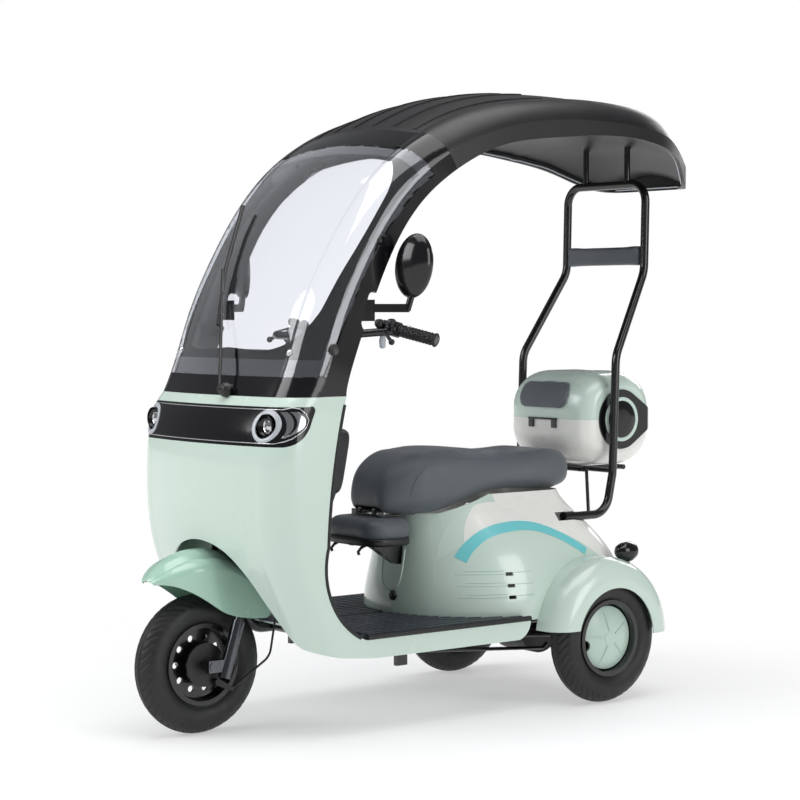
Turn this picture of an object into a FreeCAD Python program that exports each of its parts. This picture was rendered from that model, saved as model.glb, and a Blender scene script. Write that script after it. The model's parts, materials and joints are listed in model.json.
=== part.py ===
# Covered electric tricycle: one wheel in front, two behind, a windshield and a hooped roof.
# Millimetres, +Z up, the front points to -Y and the rider's left is +X.
# The origin lies on the floor under the middle of the vehicle's outline.
import FreeCAD
import Part
import math
import os

V = FreeCAD.Vector
ORIGIN = V(0, 0, 0)
X_AXIS = V(1, 0, 0)
Y_AXIS = V(0, 1, 0)
Z_AXIS = V(0, 0, 1)
SIDES = (1, -1)
FIT = 0.3

# Wheels and axles
WHEELBASE = 1160.0
FRONT_AXLE_Y = -757.0
REAR_AXLE_Y = FRONT_AXLE_Y + WHEELBASE
TRACK = 668.0
TYRE_RADIUS = 186.0
TYRE_WIDTH = 82.0
BEAD_RADIUS = 101.6
RIM_WIDTH = 60.0
RIM_HOLES = 10
RIM_HOLE_RADIUS = 9.0
HUB_RADIUS = 28.0
HUB_RAYS = 5
AXLE_RADIUS = 8.0
AXLE_TUBE_RADIUS = 26.0
MOTOR_RADIUS = 78.0
DRUM_RADIUS = 66.0
ARM_RADIUS = 12.0
ARM_X = 214.0
PIVOT_Y = 190.0
PIVOT_Z = 202.0
SHOCK_LOW = (ARM_X, 330.0, 216.0)
SHOCK_HIGH = (ARM_X, 262.0, 396.0)
SHOCK_PIN_RADIUS = 8.0
COIL_RADIUS = 19.0
COIL_WIRE = 3.5
COIL_TURNS = 7
COIL_LENGTH = 158.0

# Steering
RAKE = 17.5
AXIS_BEHIND_AXLE = 46.0
LEG_SPACING = 152.0
LEG_RADIUS = 13.0
SLIDER_RADIUS = 17.0
CROWN_Z = 440.0
HEAD_BOTTOM_Z = 474.0
HEAD_TOP_Z = 900.0
HEAD_WALL = 4.0
STEM_RADIUS = 14.0
BAR_RADIUS = 11.0
BAR_CLAMP_Z = 1020.0
GRIP_RADIUS = 16.5
GRIP_INNER = (236.0, -257.0, 1066.0)
GRIP_OUTER = (338.0, -213.0, 1040.0)

# Frame
FRAME_RADIUS = 15.0
RAIL_HALF = 168.0
STEP_X = 247.0
STEP_Y = -264.0
HOOP_RADIUS = 12.5
HOOP_HALF_LOW = 205.0
HOOP_HALF_HIGH = 170.0
HOOP_FOOT_Y = 405.0
HOOP_FOOT_Z = 522.0

# Shells and floor
SHELL_WALL = 4.0
PILLAR_WALL = 16.0
ROOF_WALL = 12.0
RIB_HEIGHT = 3.0
GLASS_WALL = 4.0
SHELL_TOP_Z = 897.0
SIDE_HALF = 335.0
SILL_REAR_Y = 133.0
SILL_TOP_Z = 257.0
FLOOR_WALL = 5.0
FLOOR_DROP = 4.0
MAT_WALL = 8.0
MAT_RIB = 4.0
MAT_RIBS = 11
MAT_PITCH = 28.0
FLOOR_TOP_Z = SILL_TOP_Z - FLOOR_DROP
FRAME_Z = FLOOR_TOP_Z - FLOOR_WALL - FRAME_RADIUS - FIT

# Lights
LIGHT_BOTTOM_Z = 772.0
LIGHT_TOP_Z = 873.0
LIGHT_DEPTH = 26.0
LAMP_X = 268.0
LAMP_Z = 824.0
LAMP_RADIUS = 42.0

# Windshield, measured inward from the middle of the hood's face
GLASS_DEPTH = 112.0
CLEAR_DEPTH = 86.0
GLASS_BOTTOM_Z = 948.0
CLEAR_BOTTOM_Z = 992.0
GLASS_TOP = (-300.0, 1575.0)
CLEAR_TOP = (-330.0, 1552.0)

# Box, seats and mudguards
BOX_Y = 625.0
BOX_Z = 797.0
BOX_HALF = 176.0
BOX_HALF_HEIGHT = 141.0
BOX_WALL = 4.0
CARRIER_RADIUS = 7.5
CARRIER_Z = BOX_Z - BOX_HALF_HEIGHT - FIT - CARRIER_RADIUS
TRIM_RADIUS = 88.0
TRIM_WALL = 5.0
NOSE_TOP_Z = 476.0
SEAT_TOP_Z = 598.0
SADDLE_PIN_Y = -187.0
SADDLE_PIN_Z = 557.0
PIN_RADIUS = 3.5
LID_PIN_Y = 472.5
MUDGUARD_GAP = 44.0
MUDGUARD_INSIDE = 247.0
MUDGUARD_OUTSIDE = 396.0
LINER_HALF = 196.0

# Hooped sections: a crowned face, two round corners and two flanks that run inward.
# y and z place the middle of the face; lean turns the section, 0 flat and 90 upright.
SHIELD_COLUMNS = ("y", "z", "half", "corner", "flank", "sag")
SHIELD_SECTIONS = [
    (-640, 205, 326, 95, 120, 22),
    (-728, 430, 333, 85, 110, 22),
    (-762, 620, SIDE_HALF, 85, 110, 22),
    (-757, 780, SIDE_HALF, 85, 110, 22),
    (-742, 845, 334, 85, 110, 22),
    (-709, SHELL_TOP_Z, 333, 85, 110, 22),
]
HOOD_COLUMNS = ("y", "z", "lean", "half", "corner", "flank", "sag", "depth")
HOOD_SECTIONS = [
    (-709, SHELL_TOP_Z + 0.6, 0, 333, 85, 110, 22, 199),
    (-626, 1113, 26, 334, 85, 105, 22, 176),
    (-542, 1281, 31, 336, 85, 100, 22, 165),
    (-458, 1409, 38, 339, 85, 96, 22, 152),
    (-354, 1526, 48, 345, 88, 94, 24, 145),
    (-225, 1618, 60, 354, 95, 92, 26, 140),
    (-40, 1700, 75, 362, 110, 94, 30, 138),
    (190, 1743, 88, 365, 118, 96, 34, 145),
    (500, 1741, 90, 365, 118, 96, 30, 131),
    (640, 1726, 90, 345, 120, 100, 36, 136),
    (760, 1688, 90, 284, 120, 100, 40, 134),
    (860, 1642, 90, 208, 100, 82, 32, 140),
    (918, 1603, 90, 155, 70, 54, 20, 112),
    (943, 1566, 90, 120, 34, 32, 10, 74),
]
SEAM_SECTION = 5
ROOF_RIBS = (-225, -135, -45, 45, 135, 225)
# The scoop over the front tyre, in planes through the front axle.
SCOOP_COLUMNS = ("angle", "radius", "half", "corner", "flank", "sag", "depth")
SCOOP_SECTIONS = [
    (124, 282, 30, 15, 12, 5, 16),
    (114, 294, 68, 30, 30, 12, 60),
    (98, 304, 88, 40, 46, 18, 126),
    (78, 302, 92, 42, 50, 20, 158),
    (60, 286, 92, 40, 46, 18, 140),
    (44, 268, 90, 38, 40, 16, 98),
    (35, 252, 88, 36, 36, 14, 50),
]
# The seat body, in level planes: its nose is a half oval, its tail a rounded box.
BODY_COLUMNS = ("z", "front", "shoulder", "half", "rear", "corner")
BODY_SECTIONS = [
    (FLOOR_TOP_Z + FIT, -122, 190, 306, 505, 60),
    (340, -114, 190, 301, 545, 70),
    (400, -106, 200, 286, 546, 90),
    (460, -99, 200, 258, 520, 100),
    (520, -92, 190, 214, 475, 90),
    (565, -88, 160, 176, 436, 70),
    (SEAT_TOP_Z, -84, 130, 152, 424, 60),
]
# Where the saddle meets the body, seen from the side.
SADDLE_SEAT = [(-230, 549), (-30, 549), (130, SEAT_TOP_Z), (560, SEAT_TOP_Z)]
SADDLE_COLUMNS = ("y", "half", "lift", "top", "corner")
SADDLE_SECTIONS = [
    (-198, 92, 22, 650, 34),
    (-184, 122, 2, 686, 46),
    (-150, 144, 0, 710, 60),
    (-90, 152, 0, 721, 62),
    (0, 156, 0, 726, 62),
    (150, 156, 0, 717, 54),
    (380, 152, 0, 714, 50),
    (456, 134, 4, 706, 44),
    (486, 84, 20, 670, 26),
]
PAD_COLUMNS = ("z", "front", "rear", "half", "corner")
PAD_SECTIONS = [
    (NOSE_TOP_Z + FIT, -246, -110, 108, 50),
    (490, -260, -104, 124, 60),
    (526, -262, -104, 125, 60),
    (542, -248, -110, 110, 50),
]
COVER_SECTIONS = [
    (SILL_TOP_Z + MAT_WALL + MAT_RIB + FIT, -640, -438, LINER_HALF, 20),
    (340, -640, -506, LINER_HALF, 24),
    (500, -640, -510, LINER_HALF, 30),
    (600, -640, -448, 205, 34),
    (730, -640, -424, 214, 34),
    (810, -640, -440, 200, 34),
    (856, -640, -500, 180, 30),
]
DASH_SECTIONS = [
    (SHELL_TOP_Z + 1, -700, -506, 304, 40),
    (960, -690, -506, 294, 40),
    (1014, -660, -530, 200, 36),
]
# The top box, in upright planes from end to end.
BOX_COLUMNS = ("x", "half_length", "half_height", "corner")
BOX_SECTIONS = [
    (-BOX_HALF, 104, 98, 76),
    (-158, 128, 120, 92),
    (-90, 148, BOX_HALF_HEIGHT, 106),
    (0, 148, BOX_HALF_HEIGHT, 106),
    (90, 148, BOX_HALF_HEIGHT, 106),
    (158, 128, 120, 92),
    (BOX_HALF, 104, 98, 76),
]
# Rear hoop, from the top bend down to its foot: half width, y, z and bend radius.
HOOP_POINTS = [
    (HOOP_HALF_HIGH, 733, 1500, 55),
    (HOOP_HALF_HIGH, 727, 1236, 90),
    (HOOP_HALF_LOW, 578, 985, 90),
    (HOOP_HALF_LOW, 566, 640, 60),
    (HOOP_HALF_LOW, 540, HOOP_FOOT_Z, 62),
    (HOOP_HALF_LOW, HOOP_FOOT_Y, HOOP_FOOT_Z, 0),
]
RAIL_POINTS = [
    (RAIL_HALF, -572, 566, 0),
    (RAIL_HALF, -556, 380, 60),
    (RAIL_HALF, -462, FRAME_Z, 60),
    (RAIL_HALF, 330, FRAME_Z, 60),
    (RAIL_HALF, 378, 440, 40),
    (HOOP_HALF_LOW, 381, HOOP_FOOT_Z, 0),
]


def as_rows(columns, rows):
    return [dict(zip(columns, row)) for row in rows]


def box(x0, x1, y0, y1, z0, z1):
    return Part.makeBox(x1 - x0, y1 - y0, z1 - z0, V(x0, y0, z0))


def rod(start, end, radius):
    start = V(*start)
    end = V(*end)
    return Part.makeCylinder(radius, start.distanceToPoint(end), start, end - start)


def crosswise(x0, x1, y, z, radius):
    return rod((x0, y, z), (x1, y, z), radius)


def mirrored(shape):
    return shape.mirror(ORIGIN, X_AXIS)


def both(shape):
    return Part.makeCompound([shape, mirrored(shape)])


def fused(shapes):
    return shapes[0].fuse(shapes[1:]).removeSplitter()


def extruded(points, direction):
    """A closed outline of straight lines, swept along one direction."""
    corners = [V(*point) for point in points]
    wire = Part.makePolygon(corners + [corners[0]])
    return Part.Face(wire).extrude(V(*direction))


def outline_edges(points):
    """Lines and arcs through points; a point marked as bend is the middle of an arc."""
    edges = []
    index = 0
    while index < len(points):
        start = points[index][0]
        following = points[(index + 1) % len(points)]
        if following[1] == "bend":
            end = points[(index + 2) % len(points)][0]
            edges.append(Part.Arc(start, following[0], end).toShape())
            index += 2
        else:
            edges.append(Part.makeLine(start, following[0]))
            index += 1
    return edges


def side_block(points, half=500.0):
    """A side view outline of (y, z) points, swept right across the vehicle."""
    marked = [(V(-half, point[0], point[1]), "bend" if len(point) == 3 else "corner") for point in points]
    return Part.Face(Part.Wire(outline_edges(marked))).extrude(V(2 * half, 0, 0))


def front_block(points, y0, y1):
    """A front view outline of (x, z) points, swept from y0 to y1."""
    marked = [(V(point[0], y0, point[1]), "bend" if len(point) == 3 else "corner") for point in points]
    return Part.Face(Part.Wire(outline_edges(marked))).extrude(V(0, y1 - y0, 0))


def loft(wires):
    return Part.makeLoft(wires, True, False)


def rounded_path(points, radii):
    """Lines joined by arcs, from corner points and the bend radius at each."""
    corners = [V(*point) for point in points]
    edges = []
    start = corners[0]
    for index in range(1, len(corners) - 1):
        corner = corners[index]
        back = (corners[index - 1] - corner).normalize()
        ahead = (corners[index + 1] - corner).normalize()
        half_angle = back.getAngle(ahead) / 2
        reach = radii[index] / math.tan(half_angle)
        first = corner + back * reach
        last = corner + ahead * reach
        bisector = (back + ahead).normalize()
        centre = corner + bisector * (radii[index] / math.sin(half_angle))
        middle = centre - bisector * radii[index]
        edges.append(Part.makeLine(start, first))
        edges.append(Part.Arc(first, middle, last).toShape())
        start = last
    edges.append(Part.makeLine(start, corners[-1]))
    return Part.Wire(edges)


def bent_rod(points, radii, radius):
    path = rounded_path(points, radii)
    tangent = V(*points[1]) - V(*points[0])
    circle = Part.Wire([Part.makeCircle(radius, V(*points[0]), tangent)])
    return path.makePipeShell([circle], True, True)


def hood_wire(row, inset=0.0, reach=0.0):
    """A hooped section; inset moves face and flanks inward, reach lengthens the flanks."""
    lean = math.radians(row["lean"])
    inward = V(0, math.cos(lean), -math.sin(lean))
    middle = V(0, row["y"], row["z"]) + inward * inset
    half = row["half"] - inset
    sag = row["sag"]
    corner = max(row["corner"] - inset * 0.6, 4)
    flank = max(row["flank"] - inset * 0.6, sag + 4)
    depth = row["depth"] + reach - inset
    bend = 0.293

    def at(x, v):
        return middle + V(x, 0, 0) + inward * v

    turn_x = half - bend * corner
    turn_v = sag + bend * (flank - sag)
    points = [
        (at(-half, depth), "corner"),
        (at(-half, flank), "corner"),
        (at(-turn_x, turn_v), "bend"),
        (at(-half + corner, sag), "corner"),
        (at(0, 0), "bend"),
        (at(half - corner, sag), "corner"),
        (at(turn_x, turn_v), "bend"),
        (at(half, flank), "corner"),
        (at(half, depth), "corner"),
    ]
    return Part.Wire(outline_edges(points))


def rounded_wire(a0, a1, b0, b1, corner, place):
    """A rectangle with round corners; place maps its two coordinates into space."""
    bend = corner * 0.2929
    points = [
        (place(a0, b0 + corner), "corner"),
        (place(a0 + bend, b0 + bend), "bend"),
        (place(a0 + corner, b0), "corner"),
        (place(a1 - corner, b0), "corner"),
        (place(a1 - bend, b0 + bend), "bend"),
        (place(a1, b0 + corner), "corner"),
        (place(a1, b1 - corner), "corner"),
        (place(a1 - bend, b1 - bend), "bend"),
        (place(a1 - corner, b1), "corner"),
        (place(a0 + corner, b1), "corner"),
        (place(a0 + bend, b1 - bend), "bend"),
        (place(a0, b1 - corner), "corner"),
    ]
    return Part.Wire(outline_edges(points))


def level_wire(row, inset=0.0):
    def place(x, y):
        return V(x, y, row["z"])
    half = row["half"] - inset
    corner = row["corner"] - inset / 2
    return rounded_wire(-half, half, row["front"] + inset, row["rear"] - inset, corner, place)


def body_wire(row, inset=0.0):
    """One level section of the seat body: a half oval nose and a rounded tail."""
    z = row["z"]
    half = row["half"] - inset
    shoulder = row["shoulder"]
    reach = shoulder - row["front"] - inset
    rear = row["rear"] - inset
    corner = row["corner"] - inset / 2
    bend = corner * 0.2929

    def oval(degrees):
        turn = math.radians(degrees)
        return V(-half * math.cos(turn), shoulder - reach * math.sin(turn), z)

    points = [(oval(angle), "corner" if angle % 60 == 0 else "bend") for angle in range(0, 181, 30)]
    points += [
        (V(half, rear - corner, z), "corner"),
        (V(half - bend, rear - bend, z), "bend"),
        (V(half - corner, rear, z), "corner"),
        (V(-half + corner, rear, z), "corner"),
        (V(-half + bend, rear - bend, z), "bend"),
        (V(-half, rear - corner, z), "corner"),
    ]
    return Part.Wire(outline_edges(points))


def revolved(profile, x, y, z, start=0.0, angle=360.0):
    """A closed outline of (x, radius) points, turned about a crosswise axis at x, y, z."""
    marked = [(V(point[0], point[1], 0), "bend" if len(point) == 3 else "corner") for point in profile]
    solid = Part.Face(Part.Wire(outline_edges(marked))).revolve(ORIGIN, X_AXIS, angle)
    solid.rotate(ORIGIN, X_AXIS, start)
    solid.translate(V(x, y, z))
    return solid


def steering_y(z):
    return FRONT_AXLE_Y + AXIS_BEHIND_AXLE + (z - TYRE_RADIUS) * math.tan(math.radians(RAKE))


def steering_point(x, z):
    return (x, steering_y(z), z)


def hood_rows():
    return as_rows(HOOD_COLUMNS, HOOD_SECTIONS)


def face_y(z):
    """The y of the hood's face at a height, between its lower sections."""
    rows = hood_rows()
    for low, high in zip(rows, rows[1:]):
        if low["z"] <= z <= high["z"]:
            share = (z - low["z"]) / (high["z"] - low["z"])
            return low["y"] + share * (high["y"] - low["y"])
    return rows[0]["y"]


def saddle_seat_z(y):
    for (y0, z0), (y1, z1) in zip(SADDLE_SEAT, SADDLE_SEAT[1:]):
        if y0 <= y <= y1:
            return z0 + (z1 - z0) * (y - y0) / (y1 - y0)
    return SADDLE_SEAT[0][1]


# Front shell and what it carries

def shield_rows():
    rows = as_rows(SHIELD_COLUMNS, SHIELD_SECTIONS)
    for row in rows:
        row["depth"] = SILL_REAR_Y - row["y"]
        row["lean"] = 0
    return rows


def shield_form(inset=0.0):
    reach = 40 if inset else 0
    return loft([hood_wire(row, inset, reach) for row in shield_rows()])


def shield_outline():
    """What the front shell keeps, seen from the side: the apron and the sills behind it."""
    return side_block([
        (-700, 292), (-618, 244, "bend"), (-494, 213), (-400, 205, "bend"), (-300, 203),
        (70, 205), (122, 222, "bend"), (SILL_REAR_Y, SILL_TOP_Z), (-445, SILL_TOP_Z),
        (-540, 335, "bend"), (-568, 508), (-554, 680, "bend"), (-510, SHELL_TOP_Z),
        (-850, SHELL_TOP_Z), (-850, 292)])


def wheel_arch():
    """The opening under the nose, seen from the front."""
    right = [
        (345, 223), (288, 236, "bend"), (245, 275), (222, 330, "bend"), (200, 386), (160, 450, "bend"),
        (102, 494)]
    left = [(-point[0],) + point[1:] for point in right[::-1]]
    return front_block([(345, 100)] + right + [(0, 515, "bend")] + left + [(-345, 100)], -900, -560)


def light_window(margin):
    """The light strip seen from the side: it wraps round the corner to a point on each flank."""
    low = LIGHT_BOTTOM_Z - margin
    high = LIGHT_TOP_Z + margin
    return side_block([
        (-900, low), (-702, low), (-664 + margin, low + 12, "bend"), (-628 + margin, low + 48),
        (-613 + margin, high - 17), (-612 + margin, high - 4, "bend"), (-628, high), (-900, high)])


def front_shield(outer):
    shell = outer.cut(shield_form(SHELL_WALL)).common(shield_outline())
    return shell.cut(wheel_arch()).cut(light_window(FIT))


def lamp_well(margin):
    return rod((LAMP_X, -800, LAMP_Z), (LAMP_X, -650, LAMP_Z), LAMP_RADIUS + margin)


def light_bar(strip):
    back = box(-400, 400, -602, 0, 700, 900)
    return strip.cut(back).cut(both(lamp_well(FIT)))


def headlamps(strip):
    return both(lamp_well(0).common(strip))


def leg_shield_face(shift):
    face = shield_outline()
    face.translate(V(0, shift, 0))
    return face


def inner_leg_shield():
    """The panel that closes the shell behind, around the opening for the column cover."""
    panel = box(-SIDE_HALF, SIDE_HALF, -620, -440, SILL_TOP_Z + MAT_WALL + MAT_RIB + FIT, SHELL_TOP_Z - 4)
    sheet = panel.common(leg_shield_face(-8)).cut(leg_shield_face(-12))
    sheet = sheet.common(shield_form(SHELL_WALL + 1))
    return sheet.cut(box(-LINER_HALF + 6, LINER_HALF - 6, -700, -400, 0, 846))


def column_cover():
    """The dark moulding over the steering column and the frame behind the front wheel."""
    rows = as_rows(PAD_COLUMNS, COVER_SECTIONS)
    outer = loft([level_wire(row) for row in rows])
    for row in rows[-1:]:
        row["z"] -= SHELL_WALL
    inner = loft([level_wire(row, SHELL_WALL) for row in rows])
    shell = outer.cut(inner).cut(leg_shield_face(-8 + FIT))
    tunnel = rod(steering_point(0, 400), steering_point(0, 980), STEM_RADIUS + HEAD_WALL + 3)
    return shell.cut(tunnel)


def dashboard():
    form = loft([level_wire(row) for row in as_rows(PAD_COLUMNS, DASH_SECTIONS)])
    tunnel = rod(steering_point(0, 860), steering_point(0, 1060), STEM_RADIUS + HEAD_WALL + 5)
    return form.common(hood_form(PILLAR_WALL + FIT)).cut(tunnel)


# Windshield, pillars and roof

def hood_form(inset=0.0):
    rows = hood_rows()
    if inset > 0:
        for row in rows[-2:]:
            row["y"] -= inset * 1.5
            row["z"] -= inset
    return loft([hood_wire(row, inset, 60 if inset > 0 else 0) for row in rows])


def seam_block(offset):
    """Everything ahead of the seam between pillar frame and roof."""
    row = hood_rows()[SEAM_SECTION]
    lean = math.radians(row["lean"])
    along = V(0, math.sin(lean), math.cos(lean))
    block = Part.makeBox(1000, 2000, 1200, V(-500, -1000, -1200))
    block.rotate(ORIGIN, X_AXIS, -row["lean"])
    block.translate(V(0, row["y"], row["z"]) + along * offset)
    return block


def window_region(depth, bottom_z, top, margin):
    """The wrapped window area seen from the side, down to a depth behind the face."""
    rows = hood_rows()[:SEAM_SECTION + 1]
    ahead = []
    behind = []
    for row in rows:
        lean = math.radians(row["lean"])
        inward = V(0, math.cos(lean), -math.sin(lean))
        middle = V(0, row["y"], row["z"])
        ahead.append(middle - inward * 60)
        behind.append(middle + inward * (depth + margin))
    outline = [(-500, p.y, p.z) for p in ahead + behind[::-1]]
    region = extruded(outline, (1000, 0, 0))
    region = region.cut(box(-600, 600, -1200, 200, 0, bottom_z - margin))
    limit = Part.makeBox(1400, 900, 900, V(-700, -450, 0))
    limit.rotate(ORIGIN, X_AXIS, 6 - rows[-1]["lean"])
    limit.translate(V(0, top[0], top[1] + margin))
    return region.cut(limit)


def pillar_slot():
    """The notch in the rear edge of each pillar that the mirror arm comes out of."""
    slot = side_block([
        (-432, 1062), (-452, 1068, "bend"), (-462, 1088), (-440, 1156), (-428, 1168, "bend"), (-412, 1164),
        (-380, 1160), (-380, 1062)], 400)
    return slot.cut(box(-310, 310, -700, 0, 900, 1300))


def windshield_frame(outer, rebate):
    shell = outer.cut(hood_form(PILLAR_WALL)).common(seam_block(-FIT))
    seat = rebate.common(window_region(GLASS_DEPTH, GLASS_BOTTOM_Z, GLASS_TOP, FIT))
    shell = shell.cut(seat).cut(window_region(CLEAR_DEPTH, CLEAR_BOTTOM_Z, CLEAR_TOP, 0))
    return shell.cut(pillar_slot())


def windshield_glass(outer):
    sheet = outer.cut(hood_form(GLASS_WALL))
    return sheet.common(window_region(GLASS_DEPTH, GLASS_BOTTOM_Z, GLASS_TOP, 0))


def roof_panel(outer):
    shell = outer.cut(hood_form(ROOF_WALL)).cut(seam_block(0))
    raised = hood_form(-RIB_HEIGHT).cut(hood_form(ROOF_WALL / 2))
    ribs = [raised.common(box(x - 7, x + 7, -200, 260, 1600, 1760)) for x in ROOF_RIBS]
    return fused([shell] + ribs)


def wiper():
    def on_face(x, z, stand):
        return (x, face_y(z) - stand, z)
    pivot = on_face(70, 914, 26)
    joint = on_face(-118, 1232, 26)
    low = on_face(-50, 1080, 14)
    middle = on_face(-118, 1232, 16)
    high = on_face(-198, 1410, 14)
    knob = rod((70, face_y(914) + 12, 914), pivot, 13)
    arm = rod(pivot, joint, 4.5)
    blade = [rod(low, middle, 6), rod(middle, high, 6)]
    return fused([knob, arm] + blade).cut(hood_form(-FIT))


def mirror_plate(half_width, half_height, y0, y1):
    """An upright oval plate between two depths."""
    outline = Part.Wire([Part.Ellipse(ORIGIN, half_height, half_width).toShape()])
    plate = Part.Face(outline)
    plate.rotate(ORIGIN, X_AXIS, 90)
    plate.rotate(ORIGIN, Y_AXIS, 90)
    plate.translate(V(0, y0, 0))
    return plate.extrude(V(0, y1 - y0, 0))


def mirror_parts():
    low = 1115
    arm = extruded([(326, -436, low), (392, -358, low), (386, -344, low), (326, -412, low)], (0, 0, 22))
    base = side_block([(-460.2, 1092), (-442, 1148), (-418, 1148), (-418, 1092)]).common(
        box(320, 334, -500, -300, 1000, 1200))
    stem = rod((387, -352, 1120), (392, -340, 1164), 9)
    form = Part.makeSphere(1)
    matrix = FreeCAD.Matrix()
    matrix.scale(V(55, 34, 85))
    form = form.transformGeometry(matrix).common(box(-80, 80, -60, 8, -100, 100))
    recess = mirror_plate(50, 80, 5, 9)
    glass = mirror_plate(50 - 2 * FIT, 80 - 2 * FIT, 5 + FIT, 8)
    for piece in (form, recess, glass):
        piece.rotate(ORIGIN, Y_AXIS, 10)
        piece.rotate(ORIGIN, Z_AXIS, 18)
        piece.translate(V(398, -338, 1236))
    return fused([arm, base, stem, form]).cut(recess), glass


# Floor, seat body and mudguards

def floor_pan():
    half = SIDE_HALF - SHELL_WALL - 16
    plate = box(-half, half, -500, SILL_REAR_Y - 8, FLOOR_TOP_Z - FLOOR_WALL, FLOOR_TOP_Z)
    plate = plate.cut(box(-LINER_HALF, LINER_HALF, -600, -436, 0, 400))
    ribs = [box(x - 12, x + 12, -430, 100, FLOOR_TOP_Z - 30, FLOOR_TOP_Z - FLOOR_WALL) for x in (-276, 276)]
    return fused([plate] + ribs)


def floor_mat():
    top = SILL_TOP_Z + MAT_WALL
    mat = box(-316, 316, -500, SILL_REAR_Y - 6, FLOOR_TOP_Z + FIT, top)
    wall = shield_form(SHELL_WALL + 1)
    starts = [16 + MAT_PITCH * i for i in range(MAT_RIBS)]
    ribs = [box(x, x + 16, -425, SILL_REAR_Y - 14, top - 1, top + MAT_RIB) for x in starts]
    mat = fused([mat] + ribs + [mirrored(rib) for rib in ribs]).common(wall)
    mat = mat.cut(body_form(-FIT))
    return mat.cut(box(-LINER_HALF - 1, LINER_HALF + 1, -600, -436, 0, 400))


def body_rows():
    return as_rows(BODY_COLUMNS, BODY_SECTIONS)


def body_form(inset=0.0):
    return loft([body_wire(row, inset) for row in body_rows()])


def body_top():
    """Everything above the seat body, seen from the side."""
    return side_block(SADDLE_SEAT + [(700, SEAT_TOP_Z), (700, 800), (-300, 800), (-300, SADDLE_SEAT[0][1])])


def white_region():
    """The pale shoulder of the body above the arc of the band, seen from the side."""
    return side_block([
        (-56, 424), (205, 511, "bend"), (478, 372), (478, 100), (700, 100), (700, 700), (142, 700), (142, 575),
        (-12, 520, "bend")])


def seat_shell():
    shell = body_form().cut(body_form(SHELL_WALL)).cut(body_top())
    wheel = crosswise(MUDGUARD_INSIDE - FIT, 420, REAR_AXLE_Y, TYRE_RADIUS, TYRE_RADIUS + MUDGUARD_GAP + FIT)
    foot = rod((HOOP_HALF_LOW, 340, HOOP_FOOT_Z), (HOOP_HALF_LOW, 540, HOOP_FOOT_Z), FRAME_RADIUS + 1)
    return shell.cut(both(wheel)).cut(both(foot))


def seat_body(shell):
    body = shell.cut(white_region())
    vents = [box(-400, 400, 90, 112, z - 5, z + 5) for z in (384, 352, 320)]
    slot = box(4, 44, -150, -60, 405, 468)
    socket = rod((26, -160, 316), (26, -60, 316), 14)
    return body.cut(vents + [slot, socket])


def rear_cover(shell):
    return shell.common(white_region())


def rear_mudguard():
    outer = TYRE_RADIUS + MUDGUARD_GAP
    wall = SHELL_WALL
    outside = MUDGUARD_OUTSIDE
    profile = [
        (MUDGUARD_INSIDE, outer), (outside - 70, outer), (outside - 18, outer - 20, "bend"),
        (outside, outer - 66), (outside, outer - 84), (outside - wall, outer - 84),
        (outside - wall, outer - 66), (outside - 21, outer - 23, "bend"), (outside - 70, outer - wall),
        (MUDGUARD_INSIDE, outer - wall)]
    shell = revolved(profile, 0, REAR_AXLE_Y, TYRE_RADIUS, -5, 208)
    keep = side_block([
        (150, 150), (160, 115, "bend"), (196, 106), (240, 106), (266, 130, "bend"), (290, 186), (700, 192),
        (700, 500), (150, 500)])
    return shell.common(keep)


def turn_lamps():
    """A pod with a pointed front on a short foot, one on each rear mudguard."""
    pod = revolved([(-47, 0), (-47, 3), (-13, 22.5), (0, 26, "bend"), (17, 19), (21, 13), (21, 0)], 0, 0, 0)
    pod.rotate(ORIGIN, Z_AXIS, 90)
    pod.translate(V(324, 514, 419))
    foot = rod((318, 510, 360), (318, 510, 419), 13)
    reach = TYRE_RADIUS + MUDGUARD_GAP + FIT
    return both(fused([pod, foot]).cut(crosswise(200, 420, REAR_AXLE_Y, TYRE_RADIUS, reach)))


def tail_lamp():
    def place(x, z):
        return V(x, 480, z)
    wire = rounded_wire(-165, 165, 430, 470, 18, place)
    lens = Part.Face(wire).extrude(V(0, 100, 0))
    bulge = loft([body_wire(row, -14) for row in body_rows()[1:5]])
    skin = loft([body_wire(row, -FIT) for row in body_rows()[1:5]])
    return lens.common(bulge).cut(skin)


def plate_bracket():
    """The rear plate holder: two round holes in a plate that stands off the body."""
    plate = box(-70, 70, 566, 570, 330, 400)
    foot = box(-30, 30, 520, 567, 384, 390)
    holes = [rod((x, 560, 350), (x, 590, 350), 3.5) for x in (-45, 45)]
    return fused([plate, foot]).cut(holes).cut(body_form(-FIT))


# Seats, rack and box

def saddle():
    rows = as_rows(SADDLE_COLUMNS, SADDLE_SECTIONS)
    wires = []
    for row in rows:
        def place(x, z, y=row["y"]):
            return V(x, y, z)
        low = saddle_seat_z(row["y"]) + FIT + row["lift"]
        corner = min(row["corner"], (row["top"] - low) / 2 - 1)
        wires.append(rounded_wire(-row["half"], row["half"], low, row["top"], corner, place))
    solid = loft(wires)
    seat = [(y, z + FIT) for y, z in SADDLE_SEAT]
    pocket = box(-78, 78, SADDLE_PIN_Y - 8, SADDLE_PIN_Y + 40, 500, SADDLE_PIN_Z + 9)
    return solid.cut(side_block(seat + [(560, 400), (-230, 400)])).cut(pocket)


def saddle_hinge():
    """Two leaves on the body's front rim that hold the pin under the saddle's nose."""
    y = SADDLE_PIN_Y
    top = SADDLE_SEAT[0][1] - FIT
    leaves = [box(x - 10, x + 10, y - PIN_RADIUS, -50, top - 3.5, top) for x in (-60, 60)]
    posts = [box(x - 10, x + 10, y - PIN_RADIUS, y + 4, top - 3.5, SADDLE_PIN_Z) for x in (-60, 60)]
    return fused(leaves + posts + [crosswise(-70, 70, y, SADDLE_PIN_Z, PIN_RADIUS)]).cut(body_form(-FIT))


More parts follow.
